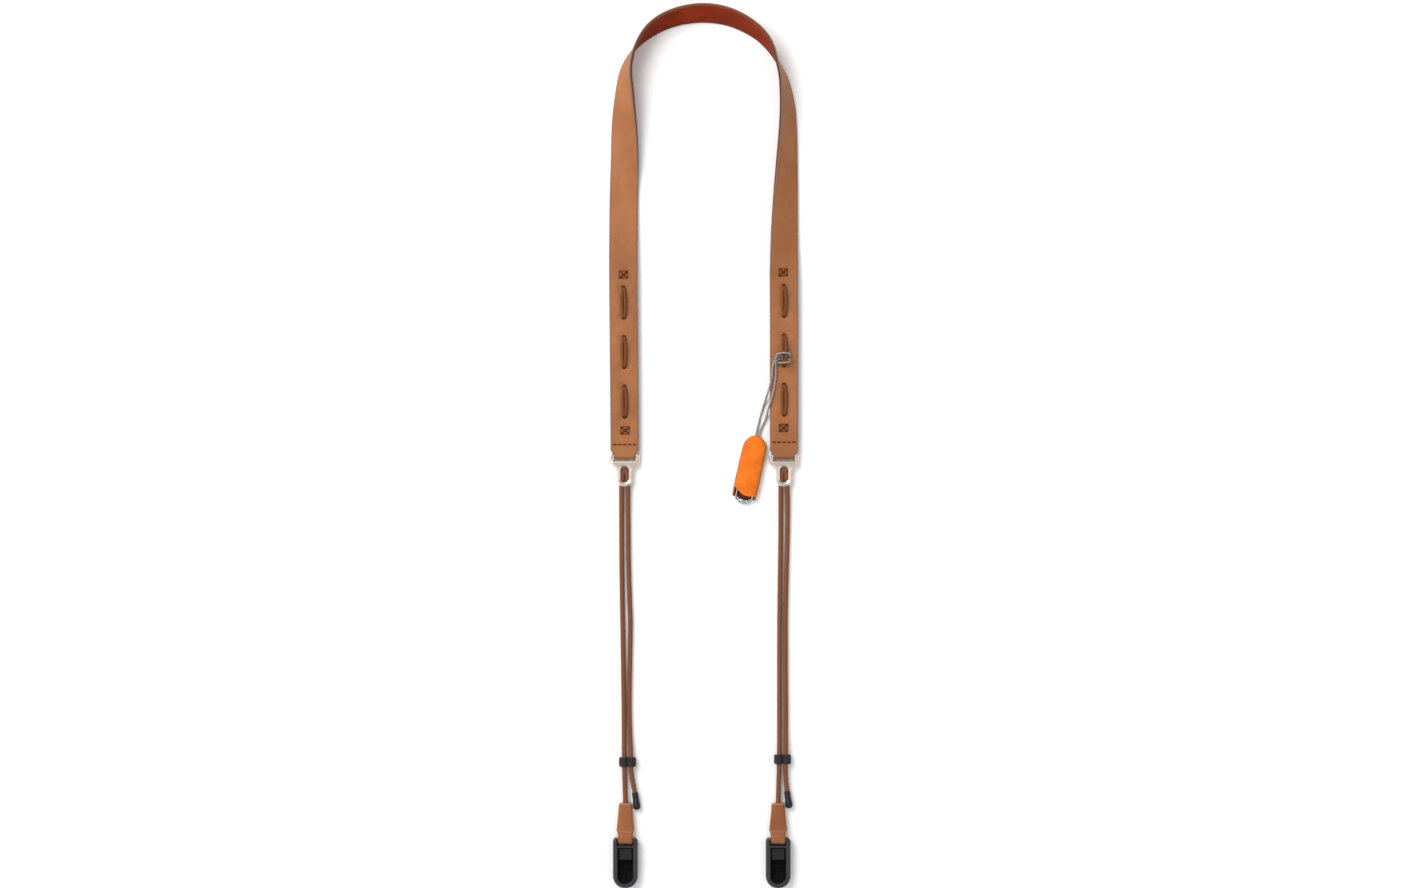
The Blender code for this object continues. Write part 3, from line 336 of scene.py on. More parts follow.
def linear(red, green, blue):
    def one(value):
        value /= 255
        return value / 12.92 if value <= 0.04045 else ((value + 0.055) / 1.055) ** 2.4
    return (one(red), one(green), one(blue), 1.0)


def scaled(tone, factor, added=0.0):
    return (*(part * factor + added for part in tone[:3]), 1.0)


# A node with its settings, and what feeds its sockets: other nodes' sockets or plain values.
def nodeIn(tree, kind, feeds=None, **settings):
    node = tree.nodes.new(kind)
    for key, value in settings.items():
        setattr(node, key, value)
    for label, value in (feeds or {}).items():
        feed(tree, node.inputs[label], value)
    return node


def feed(tree, socket, value):
    if isinstance(value, bpy.types.NodeSocket):
        tree.links.new(value, socket)
    elif value is not None:
        socket.default_value = value


def mathNode(tree, operation, first, second=None):
    return nodeIn(tree, "ShaderNodeMath", {0: first, 1: second}, operation=operation).outputs[0]


def times(tree, first, second):
    return mathNode(tree, "MULTIPLY", first, second)


def plus(tree, first, second):
    return mathNode(tree, "ADD", first, second)


def inverse(tree, value):
    return mathNode(tree, "SUBTRACT", 1.0, value)


def mixNode(tree, factor, first, second):
    return nodeIn(tree, "ShaderNodeMix", {0: factor, 6: first, 7: second}, data_type="RGBA").outputs[2]


def rampNode(tree, value, low, high):
    feeds = {"Value": value, "From Min": low, "From Max": high}
    return nodeIn(tree, "ShaderNodeMapRange", feeds, clamp=True).outputs["Result"]


def objectPlace(tree):
    return nodeIn(tree, "ShaderNodeTexCoord").outputs["Object"]


def noise(tree, scale, detail=2.0, rough=0.5, place=None):
    feeds = {"Vector": place or objectPlace(tree), "Scale": scale, "Detail": detail, "Roughness": rough}
    return nodeIn(tree, "ShaderNodeTexNoise", feeds).outputs[0]


def mask(tree, label):
    return nodeIn(tree, "ShaderNodeAttribute", attribute_name=label).outputs["Fac"]


def newGroup(name, inputs):
    tree = bpy.data.node_groups.new(name, "ShaderNodeTree")
    for label, value in inputs.items():
        socket = tree.interface.new_socket(label, in_out="INPUT", socket_type="NodeSocketFloat")
        socket.default_value = value
    return tree, tree.nodes.new("NodeGroupInput").outputs


def putOut(tree, results):
    for label in results:
        tree.interface.new_socket(label, in_out="OUTPUT", socket_type="NodeSocketFloat")
    nodeIn(tree, "NodeGroupOutput", results)
    return tree


# Leather: pebbled grain with pores, and broad clouds of tone. Scales are per metre.
def makeLeatherGroup():
    tree, given = newGroup("leatherGrain", {"Grain Scale": 900.0, "Cloud Scale": 28.0})
    cells = nodeIn(tree, "ShaderNodeTexVoronoi", {"Vector": objectPlace(tree), "Scale": given["Grain Scale"]},
                   feature="DISTANCE_TO_EDGE")
    pebble = rampNode(tree, cells.outputs["Distance"], 0.0, 0.28)
    fine = noise(tree, given["Grain Scale"], 4.0, 0.6)
    clouds = noise(tree, given["Cloud Scale"], 5.0, 0.6)
    return putOut(tree, {"Height": plus(tree, times(tree, pebble, 0.55), times(tree, fine, 0.6)),
                         "Pores": inverse(tree, pebble), "Clouds": rampNode(tree, clouds, 0.3, 0.7)})


# Braid: strands that cross over and under each other round a cord, from the mesh's own texture place. The output for
# the grooves between the strands is painted shade.
def makeBraidGroup():
    tree, given = newGroup("braid", {"Strands": 4.0, "Pitch": 0.008})
    place = nodeIn(tree, "ShaderNodeUVMap", uv_map="along").outputs[0]
    parts = nodeIn(tree, "ShaderNodeSeparateXYZ", {0: place}).outputs
    turns = mathNode(tree, "DIVIDE", parts["X"], given["Pitch"])
    angles = [times(tree, times(tree, mathNode(tree, operation, parts["Y"], turns), given["Strands"]), math.pi)
              for operation in ("ADD", "SUBTRACT")]
    first, second = (mathNode(tree, "ABSOLUTE", mathNode(tree, "COSINE", angle)) for angle in angles)
    check = times(tree, *(mathNode(tree, "SINE", times(tree, angle, 2.0)) for angle in angles))
    over = rampNode(tree, check, -0.12, 0.12)
    crossed = plus(tree, times(tree, first, over), times(tree, second, inverse(tree, over)))
    height = mathNode(tree, "POWER", crossed, 0.6)
    return putOut(tree, {"Height": height, "Seam": inverse(tree, rampNode(tree, height, 0.15, 0.7)),
                         "Fibre": noise(tree, 3200.0, 3.0, 0.7)})


# Fine texture of moulded or cast surfaces, with faint handling marks.
def makeMouldGroup():
    tree, given = newGroup("mouldTexture", {"Grain Scale": 2500.0, "Mark Scale": 60.0})
    marks = noise(tree, given["Mark Scale"], 6.0, 0.65)
    return putOut(tree, {"Height": noise(tree, given["Grain Scale"], 3.0, 0.65),
                         "Marks": rampNode(tree, marks, 0.35, 0.75)})


groups = {"leather": makeLeatherGroup(), "braid": makeBraidGroup(), "mould": makeMouldGroup()}


def newMaterial(name, **sockets):
    made = bpy.data.materials.new(name)
    made.use_nodes = True
    shader = made.node_tree.nodes["Principled BSDF"]
    for label, value in sockets.items():
        shader.inputs[label.replace("_", " ")].default_value = value
    return made, made.node_tree, shader


def placeGroup(tree, group, **values):
    node = nodeIn(tree, "ShaderNodeGroup", node_tree=groups[group])
    for label, value in values.items():
        node.inputs[label.replace("_", " ")].default_value = value
    return node.outputs


def surface(tree, shader, colour, roughness, height, depth):
    bump = nodeIn(tree, "ShaderNodeBump", {"Strength": 1.0, "Distance": depth, "Height": height}).outputs[0]
    for label, value in (("Base Color", colour), ("Roughness", roughness), ("Normal", bump)):
        feed(tree, shader.inputs[label], value)


def leatherMaterial(name, tone, deep, edge, grain=1900.0, clouds=28.0, rough=0.5, edgeShare=0.9,
                    inside=None, shine=0.3):
    made, tree, shader = newMaterial(name, Specular_IOR_Level=shine)
    grained = placeGroup(tree, "leather", Grain_Scale=grain, Cloud_Scale=clouds)
    stretched = nodeIn(tree, "ShaderNodeMapping", {"Vector": objectPlace(tree), "Scale": (1.0, 0.12, 1.0)})
    streaks = rampNode(tree, noise(tree, 260.0, 3.0, 0.6, stretched.outputs[0]), 0.35, 0.7)
    colour = mixNode(tree, grained["Clouds"], tone, deep)
    for share, amount in ((grained["Pores"], 0.10), (streaks, 0.35)):
        colour = mixNode(tree, times(tree, share, amount), colour, deep)
    if inside:
        colour = mixNode(tree, mask(tree, "inside"), colour, inside)
    colour = mixNode(tree, times(tree, mask(tree, "edge"), edgeShare), colour, edge)
    roughness = plus(tree, rough - 0.06, times(tree, grained["Pores"], 0.16))
    surface(tree, shader, colour, roughness, grained["Height"], 0.00004)
    return made


def suedeMaterial(name, tone, deep, edge):
    made, tree, shader = newMaterial(name, Specular_IOR_Level=0.12)
    grained = placeGroup(tree, "leather", Grain_Scale=1800.0, Cloud_Scale=45.0)
    nap = noise(tree, 4200.0, 4.0, 0.75)
    colour = mixNode(tree, grained["Clouds"], tone, deep)
    colour = mixNode(tree, times(tree, rampNode(tree, nap, 0.35, 0.7), 0.35), colour, deep)
    colour = mixNode(tree, times(tree, mask(tree, "edge"), 0.9), colour, edge)
    surface(tree, shader, colour, plus(tree, 0.8, times(tree, nap, 0.15)), nap, 0.00012)
    return made


def braidMaterial(name, tone, deep, strands, pitch, depth, fleck=None):
    made, tree, shader = newMaterial(name, Specular_IOR_Level=0.2)
    braided = placeGroup(tree, "braid", Strands=strands, Pitch=pitch)
    colour = mixNode(tree, times(tree, braided["Fibre"], 0.5), tone, deep)
    if fleck:
        colour = mixNode(tree, rampNode(tree, noise(tree, 2300.0, 1.0, 0.5), 0.534, 0.614), colour, fleck)
    # painted shade: the grooves between the strands are mixed towards a much darker brown
    colour = mixNode(tree, times(tree, braided["Seam"], 0.75), colour, scaled(deep, 0.35))
    surface(tree, shader, colour, 0.8, plus(tree, braided["Height"], times(tree, braided["Fibre"], 0.35)), depth)
    return made


# Cast or moulded: marks mix in the worn tone by share and roughen it by spread.
def castMaterial(name, tone, worn, share, rough, spread, depth, grain, marks, **sockets):
    made, tree, shader = newMaterial(name, **sockets)
    cast = placeGroup(tree, "mould", Grain_Scale=grain, Mark_Scale=marks)
    colour = mixNode(tree, times(tree, cast["Marks"], share), tone, worn)
    surface(tree, shader, colour, plus(tree, rough, times(tree, cast["Marks"], spread)), cast["Height"], depth)
    return made


def metalMaterial(name, tone, rough, depth):
    return castMaterial(name, tone, scaled(tone, 0.8), 1.0, rough, 0.12, depth, 1900.0, 120.0, Metallic=1.0)


def plasticMaterial(name, tone, rough, depth=0.000018, grain=2500.0, marks=90.0, shine=0.5):
    return castMaterial(name, tone, scaled(tone, 1.9, 0.002), 0.6, rough, 0.14, depth, grain, marks,
                        Specular_IOR_Level=shine)


looks = {
    "tan": leatherMaterial("tanLeather", linear(168, 107, 62), linear(140, 85, 46), linear(116, 90, 74)),
    # the tab's inside mask marks its end, which is mixed towards a much darker brown
    "tab": leatherMaterial("tabLeather", linear(152, 92, 52), linear(124, 68, 34), linear(176, 132, 102),
                           edgeShare=0.75, inside=linear(58, 30, 16)),
    "rust": suedeMaterial("rustSuede", linear(150, 50, 14), linear(112, 34, 8), linear(104, 76, 60)),
    "orange": leatherMaterial("orangeLeather", linear(238, 128, 26), linear(208, 94, 14), linear(128, 96, 66),
                              grain=1500.0, clouds=110.0, rough=0.6, inside=linear(104, 36, 10), shine=0.18),
    "cord": braidMaterial("brownBraid", linear(136, 86, 60), linear(90, 52, 33), 8.0, 0.0150, 0.00018),
    "lace": braidMaterial("waxedLace", linear(130, 80, 48), linear(80, 44, 24), 8.0, 0.0110, 0.00012),
    "flecked": braidMaterial("fleckedCord", linear(176, 166, 160), linear(132, 122, 116), 8.0, 0.0070, 0.00008,
                             fleck=linear(84, 76, 74)),
    "thread": braidMaterial("waxedThread", linear(84, 42, 16), linear(54, 24, 8), 4.0, 0.0030, 0.00003),
    "nickel": metalMaterial("satinNickel", linear(232, 214, 198), 0.2, 0.000010),
    "steel": metalMaterial("bareSteel", linear(182, 182, 184), 0.24, 0.000008),
    "black": plasticMaterial("blackPlastic", linear(28, 28, 30), 0.34),
    "tongue": plasticMaterial("tonguePlastic", linear(16, 16, 17), 0.55, shine=0.3),
    # painted shade: a near-black, low-shine copy of the black plastic for the inside of the deep pocket
    "pocket": plasticMaterial("pocketShadePlastic", linear(6, 6, 6), 0.7, shine=0.1),
    "cap": plasticMaterial("capPlastic", linear(15, 15, 16), 0.42, 0.000030, shine=0.35),
    "grey": plasticMaterial("greyPlastic", linear(24, 23, 23), 0.6, 0.00010, grain=2600.0, marks=1300.0, shine=0.35),
}
print("looks made:", len(looks))

studio = {"pixelsWide": 1411, "millimetresPerPixel": 0.709, "lens": 85.0, "sensor": 36.0,
          "middle": (0.0012, 0.0017), "skyStrength": 0.85,
          "lights": {"key": ((-0.9, 0.9, 1.5), 1.1, 26.0), "fill": ((1.2, -0.4, 1.3), 1.4, 9.0)}}  # place, size, watts


def makeStudio():
    scene = bpy.context.scene
    camera = placed("camera", bpy.data.cameras.new("camera"))
    camera.data.lens = studio["lens"]
    camera.data.sensor_width = studio["sensor"]
    width = studio["pixelsWide"] * studio["millimetresPerPixel"] / 1000
    camera.location = (*studio["middle"], width * studio["lens"] / studio["sensor"])
    scene.camera = camera
    bm = bmesh.new()
    bmesh.ops.create_grid(bm, x_segments=2, y_segments=2, size=6.0)
    mesh = bpy.data.meshes.new("floor")
    bm.to_mesh(mesh)
    bm.free()
    floor = placed("floor", mesh)
    floor.location.z = -0.0001
    paper, tree, shader = newMaterial("paperFloor", Roughness=0.9, Specular_IOR_Level=0.1)
    tone = mixNode(tree, noise(tree, 6.0), (0.90, 0.90, 0.90, 1), (0.93, 0.93, 0.925, 1))
    feed(tree, shader.inputs["Base Color"], tone)
    mesh.materials.append(paper)
    for name, (spot, size, watts) in studio["lights"].items():
        light = placed(name, bpy.data.lights.new(name, "AREA"))
        light.data.size = size
        light.data.energy = watts
        light.location = spot
        light.rotation_euler = (-Vector(spot)).to_track_quat("-Z", "Y").to_euler()
    # the sky is brighter on the left
    world = bpy.data.worlds.new("studio")
    world.use_nodes = True
    tree = world.node_tree
    place = nodeIn(tree, "ShaderNodeTexCoord").outputs["Generated"]
    across = nodeIn(tree, "ShaderNodeSeparateXYZ", {0: place}).outputs["X"]
    tone = mixNode(tree, rampNode(tree, across, -0.55, 0.55), (1.3, 1.3, 1.3, 1), (0.32, 0.32, 0.33, 1))
    feed(tree, tree.nodes["Background"].inputs["Color"], tone)
    tree.nodes["Background"].inputs["Strength"].default_value = studio["skyStrength"]
    scene.world = world
    scene.view_settings.view_transform = "Standard"


makeStudio()
print("studio ready")

cordLook = {"diameter": 0.0033, "sides": 28, "step": 0.00045, "strands": 8, "pitch": 0.0150, "relief": 0.07,
            "squeeze": 0.36, "squeezeStart": -0.0256, "squeezeRamp": 0.0028, "material": looks["cord"]}
pouchCordLook = {**cordLook, "diameter": 0.0014, "sides": 14, "step": 0.00026, "pitch": 0.0070, "relief": 0.09,
                 "squeeze": 0.0, "material": looks["flecked"]}


def braidRelief(look):
    def relief(along, angles):
        turned = angles / (2 * math.pi)
        first, second = ((turned + way * along / look["pitch"]) * look["strands"] * math.pi for way in (1, -1))
        over = np.clip(np.sin(2 * first) * np.sin(2 * second) / 0.24 + 0.5, 0, 1)
        height = (np.abs(np.cos(first)) * over + np.abs(np.cos(second)) * (1 - over)) ** 0.6
        return look["relief"] * (height - 0.7)
    return relief


def makeCord(node, route, middle, look):
    name = pieceName(node)
    path = smoothRows(route, look["step"]) + (middle, 0, 0)
    # the two strands are squeezed together where they turn in the yoke's eye
    squeezed = np.clip((path[:, 1] - look["squeezeStart"]) / look["squeezeRamp"], 0, 1) * look["squeeze"]
    obj = tubeMesh(name, path, look["diameter"] / 2, look["sides"], braidRelief(look), lean=squeezed)
    dress(obj, look["material"], [node])
    centre = smoothRows(route, look["diameter"] / 2) + (middle, 0, 0)


sliderLook = {"width": 0.0120, "height": 0.0064, "length": 0.0066, "rim": 0.0008, "spacing": 0.0046,
              "hole": 0.00195, "notch": 0.0009, "notchDepth": 0.0006}


def makeSlider(node, middle, spot):
    s, radius = sliderLook, sliderLook["height"] / 2
    x, low, high = middle + spot[0], spot[1] - s["length"] / 2, spot[1] + s["length"] / 2

    def across(name, offset, size, past=0.0, **more):
        return rod(name, size, (x + offset, low - past, radius), (x + offset, high + past, radius), **more)

    beads = [across(pieceName(node), way * (s["width"] / 2 - radius), radius, sides=40, rim=s["rim"])
             for way in (-1, 1)]
    holes = [across("hole", way * s["spacing"] / 2, s["hole"], 0.001) for way in (-1, 1)]
    reach = s["notch"] - s["notchDepth"]
    notches = [rod("notch", s["notch"], (x, y, -0.001), (x, y, 3 * radius)) for y in (low - reach, high + reach)]
    body = fused(beads[0], beads[1:], holes + notches, voxel=0.00016, smooth=2)
    return dress(body, looks["grey"], [node])


capLook = {"diameter": 0.0052, "length": 0.0115, "neck": 0.84, "collar": 0.0008, "mouth": 0.00176}


def makeCap(node, middle, places):
    r, length = capLook["diameter"] / 2, capLook["length"]
    start, end = ((middle + x, y, r) for x, y in places)
    neck = r * capLook["neck"]
    lip = -capLook["collar"]  # the collar reaches over the end of the cord
    rows = [(0, 0.0002), (0, capLook["mouth"]), (lip, capLook["mouth"]), (lip, neck * 0.88),
            (lip + 0.0002, neck * 0.97), (lip + 0.0006, neck), (length * 0.52, neck * 1.02),
            (length * 0.56, r * 0.93), (length * 0.60, r * 0.99), (length * 0.66, r)]
    for turn in np.linspace(0, math.pi / 2, 9)[:-1]:
        rows.append((length - r * 0.8 * (1 - math.sin(turn)), r * (0.25 + 0.75 * math.cos(turn))))
    rows.append((length, 0.0002))
    return dress(turnedMesh(pieceName(node), start, end, rows, 40), looks["cap"], [node])


yokeLook = {
    "thickness": 0.0056, "rim": 0.0013, "shoulder": 0.0099, "shoulderLength": 0.0022, "slotDepth": 0.0036,
    "loopHalf": 0.0053, "loopTop": 0.0094, "loopEnd": 0.0222, "slotHalf": 0.0074, "earHalf": 0.01065,
    "earReach": 0.0018, "earRadius": 0.0014, "eyeWidth": 0.0058, "eyeTop": 0.0073, "eyeEnd": 0.0190,
    "lip": 0.0009, "bightTop": 0.0086, "cordSpacing": 0.0046, "cordHole": 0.00195, "dish": 0.0009,
    "dishDepth": 0.0003, "voxel": 0.00019,
}


def makeYoke(node, middle):
    y = yokeLook
    shoulderY, top = -y["slotDepth"] - y["shoulderLength"], y["thickness"]
    half = ((-y["shoulder"], -y["slotDepth"], 0, 0.0013), (-y["shoulder"], shoulderY, 0, 0.0018),
            (-y["loopHalf"], -y["loopTop"], 0, 0.0030), (-y["loopHalf"], -y["loopEnd"], 0, 0.0049))
    outline = roundedPath([*half, *((-x, *rest) for x, *rest in reversed(half))], 8, closed=True)
    body = plate(pieceName(node), outline, 0.0, top, y["rim"], 5)
    added = [rod("bar", barRadius, (-0.0090, 0, barZ), (0.0090, 0, barZ))]
    for low, high in ((-y["earHalf"], -y["slotHalf"]), (y["slotHalf"], y["earHalf"])):
        ear = roundedBox((low, -y["slotDepth"] - y["earRadius"]), (high, y["earReach"]), y["earRadius"])
        added.append(plate("ear", ear, barZ - 0.0011, barZ + 0.0011, 0.0009, 4))
    eye, hollow = y["eyeWidth"] / 2, y["cordSpacing"] / 2 + y["cordHole"]
    wide = eye + y["dish"]  # a shallow dish round the eye, as the casting has
    cut = [slab("eye", (-eye, eye), (-y["eyeEnd"], -y["eyeTop"]), eye * 0.96, -0.01, 0.01, 8),
           slab("hollow", (-hollow, hollow), (-y["eyeEnd"], -y["bightTop"]), hollow * 0.9, -0.01, top - y["lip"], 8),
           slab("dish", (-wide, wide), (-y["eyeEnd"] - y["dish"], -y["eyeTop"] + y["dish"]), eye + 0.0006,
                top - y["dishDepth"], top + 0.002, 8)]
    z = top - y["lip"] - y["cordHole"]
    for x in (-y["cordSpacing"] / 2, y["cordSpacing"] / 2):
        cut.append(rod("cordHole", y["cordHole"], (x, hollow - y["eyeEnd"], z), (x, -y["loopEnd"] - 0.002, z)))
    fused(body, added, cut, voxel=y["voxel"], smooth=5)
    body.data.transform(Matrix.Translation((middle, barY, 0)))
    return dress(body, looks["nickel"], [node])


tabLook = {"length": 0.0294, "thickness": 0.0055, "wall": 0.0012, "foldWidth": 0.0115, "socket": 0.0062,
           "socketRadius": 0.00195, "pinY": -0.2794, "pinZ": 0.00375, "pinHole": 0.0014, "sides": 64, "power": 3.6}
tabRows = (  # millimetres along, half width, half height, and wear as a share
    (0, 4.0, 2.2, 1.0), (0.2, 4.3, 2.6, 1.0), (0.6, 4.5, 2.75, 0.9), (1.2, 4.6, 2.75, 0.15), (6, 5.0, 2.75, 0.0),
    (10, 5.35, 2.6, 0.0), (14, 5.75, 2.4, 0.0), (17.6, 6.12, 2.16, 0.0), (19, 6.25, 2.08, 0.1),
    (19.6, 6.22, 2.04, 0.5), (19.9, 6.1, 1.9, 1.0), (20.1, 5.9, 1.64, 0.6), (20.8, 5.65, 1.62, 0.0),
    (22.2, 5.3, 1.84, 0.0), (24, 5.4, 2.22, 0.0))


def makeTab(node, x):
    t = tabLook
    foldRadius = 0.0011 + 0.0003 + t["wall"]  # pin, gap and leather
    pinAlong = t["length"] - foldRadius
    rows = smoothRows(tabRows, 0.14, axes=1) / (1000, 1000, 1000, 1)
    fold = [(pinAlong + foldRadius * math.sin(turn), t["foldWidth"] / 2 - 0.0004 * math.sin(turn),
             foldRadius * math.cos(turn), 0.0) for turn in np.linspace(0, math.radians(86), 18)]
    rings, wear, along, endDarkening = [], [], [], []
    for travelled, halfWidth, halfHeight, worn in np.vstack([rows, fold]):
        z = t["thickness"] / 2 + (t["pinZ"] - t["thickness"] / 2) * min(travelled / pinAlong, 1.0)
        z = max(z, halfHeight)
        ring = [ovalPoint(angle, halfWidth, halfHeight, t["power"]) for angle in ringAngles(t["sides"])]
        ragged = 0.00010 * max(0.0, 1 - travelled / 0.0008)  # the collar's cut edge
        rings.append([(x + across, tabTopY - travelled - ragged * math.sin(across * 9000) * math.cos(up * 7000 + 1),
                       z + up) for across, up in ring])
        # the tab is much darker towards its end, where it turns round the pin
        endDarkening.append([clamped((travelled - t["length"] + 0.0011) / 0.0008)] * t["sides"])
        along.append(travelled)
        # the glued seam down each side is a little darker
        wear.append([max(clamped(1 - abs(up) / (halfHeight * 0.25)) * 0.6, worn) for _, up in ring])
    body = meshFromRings(pieceName(node), rings, along, values={"edge": wear, "inside": endDarkening})
    z = t["thickness"] / 2
    fused(body, cut=[rod("socket", t["socketRadius"], (x, tabTopY + 0.001, z), (x, tabTopY - t["socket"], z)),
                     rod("pinHole", t["pinHole"], (x - 0.01, t["pinY"], t["pinZ"]), (x + 0.01, t["pinY"], t["pinZ"]))])
    return dress(body, looks["tab"], [node])


connectorLook = {
    "width": 0.0175, "top": -0.2767, "length": 0.0357, "thickness": 0.0075, "rim": 0.0016, "notchHalf": 0.00625,
    "notchEnd": -0.2825, "pocketHalf": 0.00555, "pocketStart": -0.2837, "pocketEnd": -0.3092, "pinHalf": 0.0073,
    "tongueLength": 0.0088, "tongueSink": 0.0018, "floor": 0.0016, "rampLength": 0.0075, "rampRise": 0.0046,
    "pocketRound": 0.0050, "voxel": 0.00021,
}


def makeConnector(node, x):
    c = connectorLook
    half, top, bottom = c["width"] / 2, c["top"], c["top"] - c["length"]
    pocket, start, end = c["pocketHalf"], c["pocketStart"], c["pocketEnd"]
    floor, step = c["floor"], start - c["tongueLength"]
    tongue, over = c["thickness"] - c["tongueSink"], c["thickness"] + 0.002
    rampEnd = end + c["rampLength"]
    outline = roundedPath([(-half, bottom, 0, half * 0.97), (half, bottom, 0, half * 0.97),
                           (half, top, 0, half * 0.33), (-half, top, 0, half * 0.33)], 12, closed=True)
    body = plate(pieceName(node), outline, 0.0, c["thickness"], c["rim"], 5)
    body.data.transform(Matrix.Translation((x, 0, 0)))
    fused(body, cut=[slab("notch", (x - c["notchHalf"], x + c["notchHalf"]), (c["notchEnd"], top + 0.004),
                          0.0012, -0.02, 0.02, 6)])
    hollow = profilePlate("pocket", [(end, floor + c["rampRise"]), (rampEnd, floor), (step, floor), (step, tongue),
                                     (start, tongue), (start, over), (end, over)], x, pocket)
    # the pocket ends in a round below, as the outside does
    rounding = [(x - pocket, end, 0, c["pocketRound"]), (x + pocket, end, 0, c["pocketRound"]),
                (x + pocket, start, 0, 0.0004), (x - pocket, start, 0, 0.0004)]
    fused(hollow, within=[plate("rounding", roundedPath(rounding, 10, closed=True), -0.01, 0.02)])
    cut = [hollow]
    for way in (-1, 1):  # slots beside the springy tongue, and guides in the walls of the deep part
        cut.append(slab("slot", (x + way * (pocket - 0.0003), x + way * (pocket - 0.0010)),
                        (step - 0.0002, start - 0.0007), 0.0003, tongue - 0.0012, over))
        cut.append(slab("guide", (x + way * (pocket - 0.0005), x + way * (pocket + 0.0007)),
                        (rampEnd - 0.0002, step - 0.0012), 0.0003, floor + 0.0012, floor + 0.0034))
    cut.append(slab("groove", (x - pocket + 0.0006, x + pocket - 0.0006), (start - 0.0010, start - 0.0004),
                    0.00025, tongue - 0.0005, over))
    pin = rod("pin", 0.0011, *((x + way * c["pinHalf"], tabLook["pinY"], tabLook["pinZ"]) for way in (-1, 1)))
    fused(body, [pin], cut)
    # a rib up the middle of the ramp, and a ledge across the deep part
    ribEnd = end + c["rampLength"] * 0.8
    rib = profilePlate("rib", [(end - 0.0004, floor + c["rampRise"] + 0.0009), (ribEnd, floor + 0.0011),
                               (ribEnd, floor - 0.0004), (end - 0.0004, floor - 0.0004)], x, 0.0006)
    ledge = slab("ledge", (x - pocket - 0.0004, x + pocket + 0.0004), (step - 0.0062, step - 0.0052), 0.0003,
                 floor - 0.0006, floor + 0.0005)
    fused(body, [rib, ledge], voxel=c["voxel"], smooth=2)
    dress(body, looks["black"], [node])
    body.data.materials.append(looks["tongue"])
    body.data.materials.append(looks["pocket"])
    # faces inside the deep pocket take the near-black plastic as painted shade, and faces on the tongue take the
    # tongue's plastic
    for face in body.data.polygons:
        across, along, height = face.center.x - x, face.center.y, face.center.z
        reach = math.hypot(across, min(0.0, along - end - pocket))
        if reach < pocket + 0.0008 and along < start + 0.0002 and 0.0012 < height < c["thickness"] - 0.0004:
            face.material_index = 1 if along > step - 0.0001 and height > tongue - 0.0006 else 2
    return body


bandLook = {
    "width": 0.0200, "leather": 0.0012, "lining": 0.0009, "gap": 0.0003, "halfSpread": 0.0668, "rise": 0.3011,
    "step": 0.0010, "foldWidth": 0.0142, "flap": 0.0110, "liningStart": 0.0060, "worn": 0.0017,
}
bandThickness = bandLook["leather"] + bandLook["gap"] + bandLook["lining"]
leatherTop = legLift + bandThickness
laceLook = {"diameter": 0.0022, "sides": 20, "step": 0.00036, "strands": 8, "pitch": 0.0110, "relief": 0.09,
            "run": 0.0207, "pitchY": 0.0350, "tail": 0.0055, "bend": 0.0016, "tops": {-1: 0.1121, 1: 0.1133},
            "drawn": 0.48, "thinned": 0.20, "drawnReach": 0.0042, "hole": 0.0017}
hitch = {"y": 0.0627, "lift": 0.0017, "halfLength": 0.0050}


# The band's frames along its route: middle, across, outward and half width.
def bandStations():
    b, half = bandLook, bandLook["width"] / 2
    rows = smoothRows(np.array(bandRoute) * (b["halfSpread"], b["rise"], 1.0, legLift), b["step"], axes=2)
    made = []
    for (x, y, tilt, lift), (alongX, alongY) in zip(rows, np.gradient(rows[:, :2], axis=0)):
        inward = Vector((alongY, -alongX, 0)).normalized()
        turn = math.radians(max(tilt, 0.0))
        across = inward * math.cos(turn) + Vector((0, 0, math.sin(turn)))
        outward = Vector((0, 0, math.cos(turn))) - inward * math.sin(turn)
        centre = Vector((x, y, 0)) + inward * (half * math.cos(turn))
        centre.z = min(max(lift, 0.0), legLift) + half * math.sin(turn) + bandThickness / 2 * abs(math.cos(turn))
        made.append((centre, across, outward, half))
    return made


stations = bandStations()


def legX(y, side):
    leg = sorted((centre.y, centre.x) for centre, _, _, _ in stations if centre.x * side > 0)
    return float(np.interp(y, [row[0] for row in leg], [row[1] for row in leg]))


# The end of the leather: it narrows, turns round the yoke's bar and lies under the leg.
def foldStations(station):
    b, fold = bandLook, bandLook["foldWidth"] / 2
    x, across = station[0].x, Vector((math.copysign(1, station[1].x), 0, 0))
    radius = barRadius + b["gap"] + b["leather"] / 2
    top = station[0] + station[2] * ((bandThickness - b["leather"]) / 2)
    made = [(top.lerp(Vector((x, barY, barZ + radius)), share), across, Vector((0, 0, 1)),
             station[3] + (fold - station[3]) * share) for share in (0.12, 0.3, 0.5, 0.7, 0.88)]
    for turn in range(0, 175, 9):
        outward = Vector((0, -math.sin(math.radians(turn)), math.cos(math.radians(turn))))
        made.append((Vector((x, barY, barZ)) + outward * radius, across, outward, fold))
    low, high = barZ - radius, legLift + b["lining"] - b["leather"] / 2
    shares = smoothRows([(0.10, 0.02), (0.16, 0.04), (0.34, 0.38), (0.52, 0.84), (0.70, 1.0), (1.0, 1.0)], 0.06, axes=2)
    path = [Vector((x, barY + back * b["flap"], low + min(rise, 1.0) * (high - low))) for back, rise in shares]
    for index, here in enumerate(path):
        heading = (path[min(index + 1, len(path) - 1)] - path[max(index - 1, 0)]).normalized()
        made.append((here, across, Vector((0, heading.z, -heading.y)), fold))
    return made


